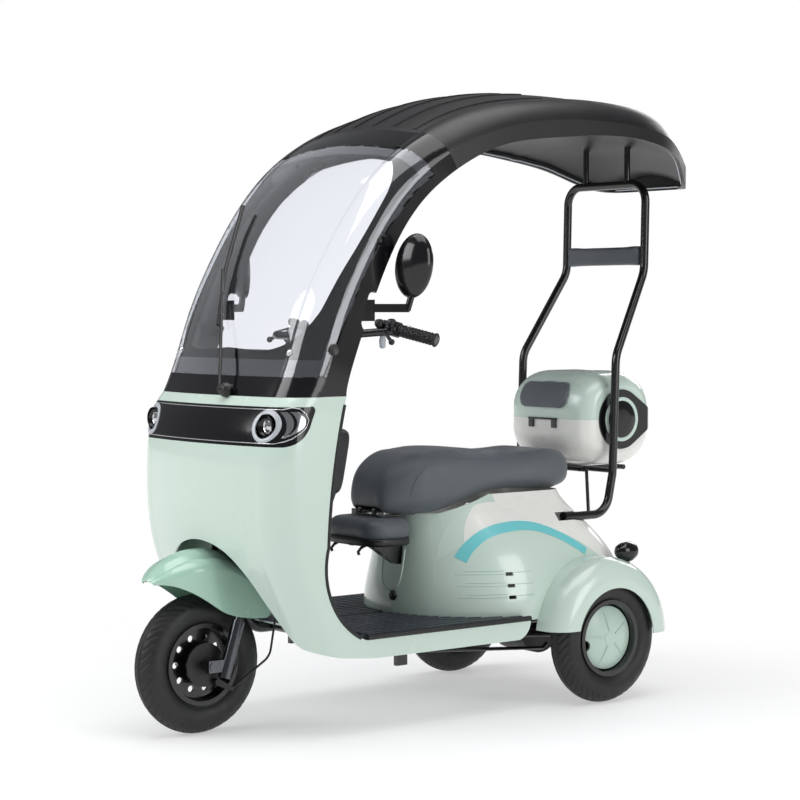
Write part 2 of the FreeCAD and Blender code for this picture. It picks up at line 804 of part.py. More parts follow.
def saddle_lugs(seat):
    """Lugs under the saddle's nose that turn on the hinge pin."""
    y = SADDLE_PIN_Y
    z = SADDLE_PIN_Z
    lugs = []
    for x in (-32, 32):
        eye = crosswise(x - 7, x + 7, y, z, PIN_RADIUS + 3)
        web = side_block([(y - 4, z), (y + 56, z - 5), (y + 56, z + 14), (y - 4, z + 14)])
        web = web.common(box(x - 7, x + 7, -300, 0, 400, 700))
        lugs.append(fused([eye, web]))
    bore = crosswise(-80, 80, y, z, PIN_RADIUS + FIT)
    return Part.makeCompound([lug.cut(bore).cut(seat) for lug in lugs])


def child_seat():
    return loft([level_wire(row) for row in as_rows(PAD_COLUMNS, PAD_SECTIONS)])


def child_seat_bracket():
    tray = box(-70, 70, -232, -118, NOSE_TOP_Z - 5, NOSE_TOP_Z)
    tongue = side_block([(-200, NOSE_TOP_Z - 5), (-200, 462), (-112, 405.4), (-80, 405.4), (-80, 450),
                         (-120, NOSE_TOP_Z - 5)]).common(box(8, 40, -300, 0, 300, 500))
    lever = box(-8, 8, -246, -228, NOSE_TOP_Z - 12, NOSE_TOP_Z - 1)
    return fused([tray, tongue, lever])


def rear_hoop():
    left = HOOP_POINTS
    right = [(-half, y, z, bend) for half, y, z, bend in HOOP_POINTS][::-1]
    path = right + left
    points = [point[:3] for point in path]
    radii = [point[3] for point in path]
    return bent_rod(points, radii, HOOP_RADIUS)


def roof_stays(hoop):
    top = 1725
    stays = [rod((x, 733, 1500), (x, 733, top), 9) for x in (-90, 90)]
    plates = [box(x - 22, x + 22, 715, 751, 1640, top) for x in (-90, 90)]
    room = hood_form(ROOF_WALL + FIT)
    return fused(stays + plates).cut(hoop).common(room)


def backrest_pad():
    half = HOOP_HALF_HIGH - HOOP_RADIUS - FIT
    return box(-half, half, 714, 744, 1253, 1315)


def luggage_carrier(hoop):
    rails = [rod((x, 522, CARRIER_Z), (x, 706, CARRIER_Z), CARRIER_RADIUS - 1) for x in (-110, 0, 110)]
    ends = [crosswise(-118, 118, y, CARRIER_Z, CARRIER_RADIUS) for y in (532, 696)]
    cross = crosswise(-HOOP_HALF_LOW, HOOP_HALF_LOW, 566, CARRIER_Z, CARRIER_RADIUS)
    struts = [rod((s * HOOP_HALF_LOW, 470, HOOP_FOOT_Z), (s * 108, 552, CARRIER_Z), 5) for s in SIDES]
    return fused([cross] + ends + rails + struts).cut(hoop).cut(box_form(-FIT))


def box_form(inset):
    wires = []
    for row in as_rows(BOX_COLUMNS, BOX_SECTIONS):
        x = row["x"]
        if abs(x) == BOX_HALF:
            x *= (BOX_HALF - inset) / BOX_HALF
        length = row["half_length"] - inset
        height = row["half_height"] - inset

        def place(y, z, x=x):
            return V(x, BOX_Y + y, BOX_Z + z)
        wires.append(rounded_wire(-length, length, -height, height, row["corner"] - inset, place))
    return loft(wires)


def box_trims():
    """The round end caps, drawn out to a point at the back."""
    face = Part.Face(Part.Wire(outline_edges([
        (V(0, BOX_Y + 52, BOX_Z + 72), "corner"), (V(0, BOX_Y - TRIM_RADIUS, BOX_Z), "bend"),
        (V(0, BOX_Y + 52, BOX_Z - 72), "corner"), (V(0, BOX_Y + 128, BOX_Z - 22), "corner"),
        (V(0, BOX_Y + 128, BOX_Z + 22), "corner")])))
    face.translate(V(BOX_HALF - 30, 0, 0))
    plate = face.extrude(V(60, 0, 0))
    skin = box_form(-TRIM_WALL)
    return plate.common(skin)


def box_halves(solid):
    """Parts the box and its trims at the seam, with the running gap on the upper side."""
    low = solid.common(box(-400, 400, 300, 900, 500, BOX_Z))
    high = solid.common(box(-400, 400, 300, 900, BOX_Z + FIT, 1100))
    return low, high


def box_pad():
    def place(x, z):
        return V(x, 400, z)
    wire = rounded_wire(-108, 108, BOX_Z + 30, BOX_Z + 112, 34, place)
    window = Part.Face(wire).extrude(V(0, 180, 0))
    return window.common(box_form(-10)).cut(box_form(-FIT))


def box_hinge():
    """The pin in front of the lid's seam and the two leaves that carry it."""
    pin = crosswise(-62, 62, LID_PIN_Y, BOX_Z, 2.8)
    leaves = [box(x - 10, x + 10, LID_PIN_Y - 2, LID_PIN_Y + 5, BOX_Z - 26, BOX_Z) for x in (-50, 50)]
    return fused([pin] + leaves).cut(box_form(-FIT))


# Running gear

def rear_axle():
    y = REAR_AXLE_Y
    z = TYRE_RADIUS
    tube = crosswise(-268, 268, y, z, AXLE_TUBE_RADIUS)
    motor = crosswise(-60, 70, y, z, MOTOR_RADIUS)
    drums = [crosswise(min(s * 250, s * 284), max(s * 250, s * 284), y, z, DRUM_RADIUS) for s in SIDES]
    stub = crosswise(-350, 350, y, z, AXLE_RADIUS)
    arms = [rod((s * ARM_X, y, z), (s * ARM_X, PIVOT_Y, PIVOT_Z), ARM_RADIUS) for s in SIDES]
    eyes = [crosswise(s * ARM_X - 13, s * ARM_X + 13, PIVOT_Y, PIVOT_Z, 16) for s in SIDES]
    pin = crosswise(-300, 300, PIVOT_Y, PIVOT_Z, SHOCK_PIN_RADIUS + FIT)
    return fused([tube, motor, stub] + drums + arms + eyes).cut(pin)


def shock_frame():
    low = V(*SHOCK_LOW)
    high = V(*SHOCK_HIGH)
    return low, high, (high - low).normalize()


def dampers():
    low, high, along = shock_frame()
    reach = low.distanceToPoint(high) - SHOCK_PIN_RADIUS - FIT
    body = rod(low, low + along * 120, 11)
    shaft = rod(low + along * 118, low + along * reach, 6)
    cups = [rod(low + along * at, low + along * (at + 5), COIL_RADIUS + COIL_WIRE)
            for at in (10, 10 + COIL_LENGTH)]
    eye = crosswise(ARM_X - 12, ARM_X + 12, low.y, low.z, 12)
    return both(fused([body, shaft, eye] + cups))


def coil_springs():
    low, high, along = shock_frame()
    height = COIL_LENGTH - 5 - 2 * COIL_WIRE - 1
    pitch = height / COIL_TURNS
    helix = Part.makeHelix(pitch, height, COIL_RADIUS)
    circle = Part.Wire([Part.makeCircle(COIL_WIRE, V(COIL_RADIUS, 0, 0), V(0, 1, 0))])
    coil = Part.Wire(helix).makePipeShell([circle], True, True)
    coil.translate(V(0, 0, 15 + COIL_WIRE + 0.5))
    turn = math.degrees(math.atan2(high.y - low.y, high.z - low.z))
    coil.rotate(ORIGIN, X_AXIS, -turn)
    coil.translate(low)
    return both(coil)


def battery_pack():
    return box(-140, 140, -36, 122, FLOOR_TOP_Z + FIT, 430)


def main_frame():
    outer = STEM_RADIUS + FIT + HEAD_WALL
    neck_y = RAIL_POINTS[0][1]
    neck_z = RAIL_POINTS[0][2]
    parts = [
        rod(steering_point(0, HEAD_BOTTOM_Z), steering_point(0, HEAD_TOP_Z), outer),
        crosswise(-RAIL_HALF - 14, RAIL_HALF + 14, neck_y, neck_z, FRAME_RADIUS),
        box(-14, 14, steering_y(neck_z) - 6, neck_y, neck_z - 12, neck_z + 12),
        crosswise(-HOOP_HALF_LOW, HOOP_HALF_LOW, 392, 470, 11),
        crosswise(-ARM_X - 14, ARM_X + 14, PIVOT_Y, PIVOT_Z, SHOCK_PIN_RADIUS),
        crosswise(-ARM_X - 14, ARM_X + 14, SHOCK_HIGH[1], SHOCK_HIGH[2], SHOCK_PIN_RADIUS),
    ]
    parts += [crosswise(-RAIL_HALF, RAIL_HALF, y, FRAME_Z, 11) for y in (-400, -100, 130)]
    for side in SIDES:
        points = [(side * half, y, z) for half, y, z, _ in RAIL_POINTS]
        parts.append(bent_rod(points, [point[3] for point in RAIL_POINTS], FRAME_RADIUS))
        x = side * HOOP_HALF_LOW
        foot = (x, HOOP_FOOT_Y - FIT, HOOP_FOOT_Z)
        parts.append(rod((x, HOOP_FOOT_Y - 36, HOOP_FOOT_Z), foot, FRAME_RADIUS))
        x = side * RAIL_HALF
        parts.append(box(x - 8, x + 8, PIVOT_Y - 14, PIVOT_Y + 14, PIVOT_Z - 12, FRAME_Z))
        parts.append(rod((x, SHOCK_HIGH[1], SHOCK_HIGH[2]), (x, 372, SHOCK_HIGH[2]), SHOCK_PIN_RADIUS))
        parts.append(rod((x, STEP_Y, FRAME_Z), (side * (STEP_X - 4), STEP_Y, FRAME_Z), 8))
        x = side * STEP_X
        parts.append(box(x - 7, x + 7, STEP_Y - 18, STEP_Y + 18, 162, FRAME_Z + 8))
    bore = rod(steering_point(0, HEAD_BOTTOM_Z - 5), steering_point(0, HEAD_TOP_Z + 5), STEM_RADIUS + FIT)
    return fused(parts).cut(bore)


# Fork, bars and wheels

def front_fork():
    parts = []
    for side in SIDES:
        x = side * LEG_SPACING / 2
        parts.append(rod(steering_point(x, 280), steering_point(x, CROWN_Z), LEG_RADIUS))
        parts.append(rod(steering_point(x, 152), steering_point(x, 300), SLIDER_RADIUS))
        parts.append(box(x - 7, x + 7, FRONT_AXLE_Y - 16, steering_y(TYRE_RADIUS), TYRE_RADIUS - 16,
                         TYRE_RADIUS + 16))
        parts.append(crosswise(x - 9, x + 9, FRONT_AXLE_Y, TYRE_RADIUS, 13))
    parts.append(crosswise(-LEG_SPACING / 2, LEG_SPACING / 2, FRONT_AXLE_Y, TYRE_RADIUS, AXLE_RADIUS))
    half = LEG_SPACING / 2 + 18
    crown_y = steering_y(CROWN_Z)
    parts.append(box(-half, half, crown_y - 22, crown_y + 22, CROWN_Z - 14, CROWN_Z + 6))
    parts.append(rod(steering_point(0, CROWN_Z), steering_point(0, BAR_CLAMP_Z + 10), STEM_RADIUS))
    return fused(parts)


def brake_plate():
    """The front drum's fixed plate, held by the left leg, with its lever below."""
    plate = crosswise(34, 42, FRONT_AXLE_Y, TYRE_RADIUS, 58)
    boss = crosswise(40, 66.6, FRONT_AXLE_Y, TYRE_RADIUS, 16)
    stop = box(40, 58, FRONT_AXLE_Y + 8, FRONT_AXLE_Y + 40, TYRE_RADIUS - 8, TYRE_RADIUS + 8)
    lever = side_block([(FRONT_AXLE_Y + 22, 132), (FRONT_AXLE_Y + 78, 110), (FRONT_AXLE_Y + 82, 119),
                        (FRONT_AXLE_Y + 28, 150)]).common(box(50, 56, -900, -600, 0, 300))
    pin = crosswise(36, 57, FRONT_AXLE_Y + 28, 140, 7)
    bore = crosswise(0, 90, FRONT_AXLE_Y, TYRE_RADIUS, AXLE_RADIUS)
    return fused([plate, boss, stop, lever, pin]).cut(bore)


def brake_cable(fork):
    side = LEG_SPACING / 2 + 18 + 3.5
    points = [(side, steering_y(CROWN_Z), CROWN_Z), (side, -566, 330), (side, -590, 200), (53, -676, 120)]
    return bent_rod(points, [0, 90, 50, 0], 3.0).cut(fork)


def handlebar(fork):
    elbow = (120, steering_y(BAR_CLAMP_Z) + 30, BAR_CLAMP_Z + 30)
    points = [GRIP_OUTER, GRIP_INNER, elbow]
    path = points + [(-x, y, z) for x, y, z in points[::-1]]
    bar = bent_rod(path, [0, 60, 50, 50, 60, 0], BAR_RADIUS)
    centre_y = steering_y(BAR_CLAMP_Z)
    clamp = rod((0, centre_y + 2, BAR_CLAMP_Z - 6), (0, centre_y + 36, BAR_CLAMP_Z + 36), 22)
    return fused([bar, clamp]).cut(fork)


def grips(bar):
    return both(rod(GRIP_INNER, GRIP_OUTER, GRIP_RADIUS).cut(bar))


def hand_controls(bar):
    """Lever perches, levers with ball ends and the switch pods beside the grips."""
    inner = V(*GRIP_INNER)
    along = (V(*GRIP_OUTER) - inner).normalize()
    pod = rod(tuple(inner - along * 2), tuple(inner - along * 34), 21)
    perch = rod(tuple(inner - along * 36), tuple(inner - along * 54), 17)
    root = inner - along * 45 + V(0, -14, -4)
    tip = V(282, -322, 1036)
    lever = rod(tuple(root), tuple(tip), 5)
    ball = Part.makeSphere(8.5, tip)
    return both(fused([pod, perch, lever, ball]).cut(bar))


def scoop_form(inset=0.0):
    rows = as_rows(SCOOP_COLUMNS, SCOOP_SECTIONS)
    for row in rows:
        angle = math.radians(row["angle"])
        row["y"] = FRONT_AXLE_Y + row["radius"] * math.cos(angle)
        row["z"] = TYRE_RADIUS + row["radius"] * math.sin(angle)
        row["lean"] = 180 - row["angle"]
    return loft([hood_wire(row, inset, 30 if inset else 0) for row in rows])


def front_mudguard(fork):
    return scoop_form().cut(scoop_form(SHELL_WALL)).cut(fork)


def tyre(x, y):
    half = TYRE_WIDTH / 2
    bead = RIM_WIDTH / 2 - FIT
    waist = (BEAD_RADIUS + TYRE_RADIUS) / 2
    profile = [
        (-bead, BEAD_RADIUS), (-bead, BEAD_RADIUS + 10), (-half, waist + 8, "bend"), (-half + 10, TYRE_RADIUS - 16),
        (0, TYRE_RADIUS, "bend"), (half - 10, TYRE_RADIUS - 16), (half, waist + 8, "bend"),
        (bead, BEAD_RADIUS + 10), (bead, BEAD_RADIUS)]
    return revolved(profile, x, y, TYRE_RADIUS)


def rim(x, y):
    half = RIM_WIDTH / 2
    out = BEAD_RADIUS - FIT
    lip = out + 8
    bore = AXLE_RADIUS + FIT
    profile = [
        (-half - 4, lip), (-half, lip), (-half, out), (half, out), (half, lip), (half + 4, lip),
        (half + 4, out - 4), (4, out - 10), (4, HUB_RADIUS), (18, HUB_RADIUS), (18, bore), (-18, bore),
        (-18, HUB_RADIUS), (-4, HUB_RADIUS), (-4, out - 10), (-half - 4, out - 4)]
    disc = revolved(profile, x, y, TYRE_RADIUS)
    holes = []
    for index in range(RIM_HOLES):
        turn = 2 * math.pi * index / RIM_HOLES
        hole_y = y + 70 * math.cos(turn)
        hole_z = TYRE_RADIUS + 70 * math.sin(turn)
        holes.append(crosswise(x - 20, x + 20, hole_y, hole_z, RIM_HOLE_RADIUS))
    return disc.cut(holes)


def hub_cap():
    """The pressed cap on the outside of a rear wheel, with raised rays and a valve notch."""
    seat = 18 + FIT
    profile = [(seat, 0), (32, 0), (28, 58, "bend"), (17, 90), (13, 90), (21, 60), (seat, 26)]
    raised = [(seat, 0), (35, 0), (31, 56, "bend"), (19, 86), (13, 86), (21, 60), (seat, 26)]
    cap = revolved(profile, TRACK / 2, REAR_AXLE_Y, TYRE_RADIUS)
    envelope = revolved(raised, TRACK / 2, REAR_AXLE_Y, TYRE_RADIUS)
    rays = []
    for index in range(HUB_RAYS):
        ray = box(300, 400, -2, 2, 24, 80)
        ray.rotate(ORIGIN, X_AXIS, 360 / HUB_RAYS * index + 12)
        ray.translate(V(0, REAR_AXLE_Y, TYRE_RADIUS))
        rays.append(ray.common(envelope))
    boss = crosswise(354, 368, REAR_AXLE_Y, TYRE_RADIUS, 20).common(envelope)
    valve = crosswise(300, 400, REAR_AXLE_Y - 86, TYRE_RADIUS - 18, 17)
    return fused([cap, boss] + rays).cut(valve)


def cabin_nodes():
    shield = shield_form()
    strip = shield.common(light_window(0)).cut(shield_form(LIGHT_DEPTH))
    hood = hood_form()
    rebate = hood.cut(hood_form(GLASS_WALL + FIT))
    mirror, glass = mirror_parts()
    return {
        "front_shield": front_shield(shield),
        "light_bar": light_bar(strip),
        "headlamps": headlamps(strip),
        "inner_leg_shield": inner_leg_shield(),
        "column_cover": column_cover(),
        "dashboard": dashboard(),
        "windshield_frame": windshield_frame(hood, rebate),
        "windshield_glass": windshield_glass(hood),
        "roof_panel": roof_panel(hood),
        "wiper": wiper(),
        "mirror_left": mirror,
        "mirror_right": mirrored(mirror),
        "mirror_glasses": both(glass),
    }


def body_nodes():
    shell = seat_shell()
    seat = saddle()
    return {
        "floor_pan": floor_pan(),
        "floor_mat": floor_mat(),
        "seat_body": seat_body(shell),
        "rear_cover": rear_cover(shell),
        "rear_mudguard_left": rear_mudguard(),
        "rear_mudguard_right": mirrored(rear_mudguard()),
        "rear_turn_lamps": turn_lamps(),
        "tail_lamp": tail_lamp(),
        "plate_bracket": plate_bracket(),
        "child_seat": child_seat(),
        "child_seat_bracket": child_seat_bracket(),
        "saddle": seat,
        "saddle_hinge": saddle_hinge(),
        "saddle_lugs": saddle_lugs(seat),
        "battery_pack": battery_pack(),
    }


def rack_nodes():
    hoop = rear_hoop()
    shell = box_form(0).cut(box_form(BOX_WALL))
    base, lid = box_halves(shell)
    trim = box_trims().cut(box_form(-FIT))
    low, high = box_halves(trim)
    return {
        "main_frame": main_frame(),
        "rear_hoop": hoop,
        "roof_stays": roof_stays(hoop),
        "backrest_pad": backrest_pad(),
        "luggage_carrier": luggage_carrier(hoop),
        "box_base": base,
        "box_base_trims": both(low),
        "box_lid": lid,
        "box_lid_trims": both(high),
        "box_pad": box_pad(),
        "box_hinge": box_hinge(),
    }


def gear_nodes():
    fork = front_fork()
    bar = handlebar(fork)
    nodes = {
        "rear_axle": rear_axle(),
        "dampers": dampers(),
        "coil_springs": coil_springs(),
        "front_fork": fork,
        "front_brake_plate": brake_plate(),
        "front_brake_cable": brake_cable(fork),
        "handlebar": bar,
        "grips": grips(bar),
        "hand_controls": hand_controls(bar),
        "front_mudguard": front_mudguard(fork),
        "front_tyre": tyre(0, FRONT_AXLE_Y),
        "front_rim": rim(0, FRONT_AXLE_Y),
    }
    for name, side in (("left", 1), ("right", -1)):
        nodes["rear_tyre_" + name] = tyre(side * TRACK / 2, REAR_AXLE_Y)
        nodes["rear_rim_" + name] = rim(side * TRACK / 2, REAR_AXLE_Y)
    nodes["hub_cap_left"] = hub_cap()
    nodes["hub_cap_right"] = mirrored(hub_cap())
    return nodes


def write_parts():
    os.makedirs("parts", exist_ok=True)
    for group in (cabin_nodes, body_nodes, rack_nodes, gear_nodes):
        for name, shape in group().items():
            shape.exportStep("parts/" + name + ".step")
            print(name, shape.isValid(), len(shape.Solids), round(shape.Volume / 1000))


write_parts()
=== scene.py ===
# Looks for a covered electric tricycle: paints, plastics, glass, seats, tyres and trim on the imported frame.
# Metres, +Z up, the front points to -Y and the rider's left is +X.
import bpy
import json
import math
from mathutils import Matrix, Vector
from mathutils.bvhtree import BVHTree


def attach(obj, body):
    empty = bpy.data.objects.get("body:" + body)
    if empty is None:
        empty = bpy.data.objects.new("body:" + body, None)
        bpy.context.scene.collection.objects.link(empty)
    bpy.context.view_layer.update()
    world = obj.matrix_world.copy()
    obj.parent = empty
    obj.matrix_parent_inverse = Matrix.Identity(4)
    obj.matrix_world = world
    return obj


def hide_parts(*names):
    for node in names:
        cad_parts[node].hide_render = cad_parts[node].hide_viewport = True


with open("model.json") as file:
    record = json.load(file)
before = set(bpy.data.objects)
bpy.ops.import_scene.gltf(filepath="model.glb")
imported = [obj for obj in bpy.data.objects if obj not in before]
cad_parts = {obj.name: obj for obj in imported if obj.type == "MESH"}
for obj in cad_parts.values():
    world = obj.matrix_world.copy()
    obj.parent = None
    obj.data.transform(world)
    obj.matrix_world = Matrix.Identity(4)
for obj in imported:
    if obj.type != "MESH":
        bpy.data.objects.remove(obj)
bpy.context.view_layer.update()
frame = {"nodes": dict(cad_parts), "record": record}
nodes = frame["nodes"]
MM = 0.001
SIDES = ((1, "left"), (-1, "right"))

# Camera, floor and studio light

CAMERA_PLACE = (4.76, -3.83, 1.12)
CAMERA_AZIMUTH = math.radians(51.7)
CAMERA_DROP = math.radians(-2.4)
CAMERA_LENS = 96.3
FLOOR_REACH = 40
FLOOR_FADE = (0.9, 2.4)
FLOOR_GLOW = 0.42
ROOM_STRENGTH = 0.22
# Each soft box: name, place, aim, size (all in metres) and power in watts.
SOFT_BOXES = (("key_box", (-1.8, -5.6, 3.6), (0, -0.2, 0.8), (4.0, 3.0), 190),
              ("side_box", (5.6, 1.4, 2.4), (0, 0.1, 0.7), (2.6, 3.6), 110),
              ("top_box", (0.4, -0.2, 5.2), (0, 0, 0.8), (5.0, 5.0), 215),
              ("rear_box", (-1.8, 4.8, 2.8), (0, 0.2, 0.8), (2.4, 1.6), 70))


def linear(code):
    """An sRGB hex colour as linear red, green, blue and full alpha."""
    parts = [int(code[i:i + 2], 16) / 255 for i in (1, 3, 5)]
    return tuple(c / 12.92 if c <= 0.04045 else ((c + 0.055) / 1.055) ** 2.4 for c in parts) + (1.0,)


def add(tree, kind, settings=None, links=None):
    """Adds one node: settings go to its sockets or its own fields, links come from (node, output)."""
    node = tree.nodes.new(kind)
    fields = dict(settings or {})
    for key in [key for key in fields if not isinstance(key, int) and hasattr(node, key)]:
        setattr(node, key, fields.pop(key))
    for key, value in fields.items():
        node.inputs[key].default_value = value
    for key, (source, output) in (links or {}).items():
        tree.links.new(source.outputs[output], node.inputs[key])
    return node


def set_camera():
    camera = bpy.data.cameras.new("photo_camera")
    camera.sensor_width = 36
    camera.lens = CAMERA_LENS
    camera.clip_end = 200
    holder = bpy.data.objects.new("photo_camera", camera)
    ahead = Vector((-math.sin(CAMERA_AZIMUTH), math.cos(CAMERA_AZIMUTH), math.sin(CAMERA_DROP)))
    holder.location = CAMERA_PLACE
    holder.rotation_euler = ahead.to_track_quat("-Z", "Y").to_euler()
    bpy.context.scene.collection.objects.link(holder)
    bpy.context.scene.camera = holder


def set_floor():
    """A white sweep: it takes shadows near the vehicle and fades to plain white further out."""
    mesh = bpy.data.meshes.new("studio_floor")
    reach = FLOOR_REACH
    mesh.from_pydata([(-reach, -reach, 0), (reach, -reach, 0), (reach, reach, 0), (-reach, reach, 0)], [],
                     [(0, 1, 2, 3)])
    floor = bpy.data.objects.new("studio_floor", mesh)
    bpy.context.scene.collection.objects.link(floor)
    paper = bpy.data.materials.new("white_paper_sweep")
    paper.use_nodes = True
    tree = paper.node_tree
    tree.nodes.clear()
    place = add(tree, "ShaderNodeNewGeometry")
    distance = add(tree, "ShaderNodeVectorMath", {"operation": "LENGTH"}, {0: (place, "Position")})
    fade = add(tree, "ShaderNodeMapRange", {"From Min": FLOOR_FADE[0], "From Max": FLOOR_FADE[1],
                                            "To Min": FLOOR_GLOW, "interpolation_type": "SMOOTHSTEP"},
               {"Value": (distance, "Value")})
    matt = add(tree, "ShaderNodeBsdfDiffuse", {"Color": linear("#FBFBFC")})
    lit = add(tree, "ShaderNodeEmission", {"Color": (1, 1, 1, 1), "Strength": 1.0})
    mixed = add(tree, "ShaderNodeMixShader", None, {"Fac": (fade, "Result"), 1: (matt, 0), 2: (lit, 0)})
    add(tree, "ShaderNodeOutputMaterial", None, {"Surface": (mixed, 0)})
    mesh.materials.append(paper)


def soft_box(name, place, aim, size, power):
    lamp = bpy.data.lights.new(name, "AREA")
    lamp.shape = "RECTANGLE"
    lamp.size, lamp.size_y = size
    lamp.energy = power
    holder = bpy.data.objects.new(name, lamp)
    holder.location = place
    holder.rotation_euler = (Vector(aim) - Vector(place)).to_track_quat("-Z", "Y").to_euler()
    bpy.context.scene.collection.objects.link(holder)


def set_light():
    world = bpy.data.worlds.new("studio")
    bpy.context.scene.world = world
    world.use_nodes = True
    tree = world.node_tree
    tree.nodes.clear()
    path = add(tree, "ShaderNodeLightPath")
    seen = add(tree, "ShaderNodeMath", {"operation": "MAXIMUM"},
               {0: (path, "Is Camera Ray"), 1: (path, "Is Transmission Ray")})
    room = add(tree, "ShaderNodeBackground", {"Color": linear("#F4F6FA"), "Strength": ROOM_STRENGTH})
    white = add(tree, "ShaderNodeBackground", {"Color": (1, 1, 1, 1), "Strength": 1.0})
    mixed = add(tree, "ShaderNodeMixShader", None, {"Fac": (seen, 0), 1: (room, 0), 2: (white, 0)})
    add(tree, "ShaderNodeOutputWorld", None, {"Surface": (mixed, 0)})
    for row in SOFT_BOXES:
        soft_box(*row)
    bpy.context.scene.view_settings.view_transform = "Standard"


# Finishes

def surface(name, colour, shade, blotch, grain, depth, roughness, spread, pattern="NOISE", **sockets):
    """One finish: two near colours in blotches, a fine relief, and a roughness that wanders.
    blotch and grain are sizes in millimetres, depth is the relief's height in millimetres."""
    material = bpy.data.materials.new(name)
    material.use_nodes = True
    tree = material.node_tree
    shader = tree.nodes["Principled BSDF"]
    for key, value in sockets.items():
        shader.inputs[key.replace("_", " ")].default_value = value
    place = add(tree, "ShaderNodeTexCoord")
    cloud = add(tree, "ShaderNodeTexNoise", {"Scale": 1000 / blotch, "Detail": 3.0},
                {"Vector": (place, "Object")})
    tint = add(tree, "ShaderNodeMix", {"data_type": "RGBA", 6: linear(colour), 7: linear(shade)},
               {0: (cloud, "Fac")})
    tree.links.new(tint.outputs[2], shader.inputs["Base Color"])
    dull = add(tree, "ShaderNodeMapRange", {"From Min": 0.3, "From Max": 0.7, "To Min": roughness - spread,
                                            "To Max": roughness + spread}, {"Value": (cloud, "Fac")})
    tree.links.new(dull.outputs["Result"], shader.inputs["Roughness"])
    if pattern == "NOISE":
        relief = add(tree, "ShaderNodeTexNoise", {"Scale": 1000 / grain, "Detail": 2.0},
                     {"Vector": (place, "Object")})
        height = (relief, "Fac")
    else:
        relief = add(tree, "ShaderNodeTexVoronoi", {"Scale": 1000 / grain, "feature": "DISTANCE_TO_EDGE"},
                     {"Vector": (place, "Object")})
        edges = add(tree, "ShaderNodeMapRange", {"From Max": 0.12}, {"Value": (relief, "Distance")})
        height = (edges, "Result")
    bump = add(tree, "ShaderNodeBump", {"Strength": 1.0, "Distance": depth * MM}, {"Height": height})
    tree.links.new(bump.outputs["Normal"], shader.inputs["Normal"])
    return material


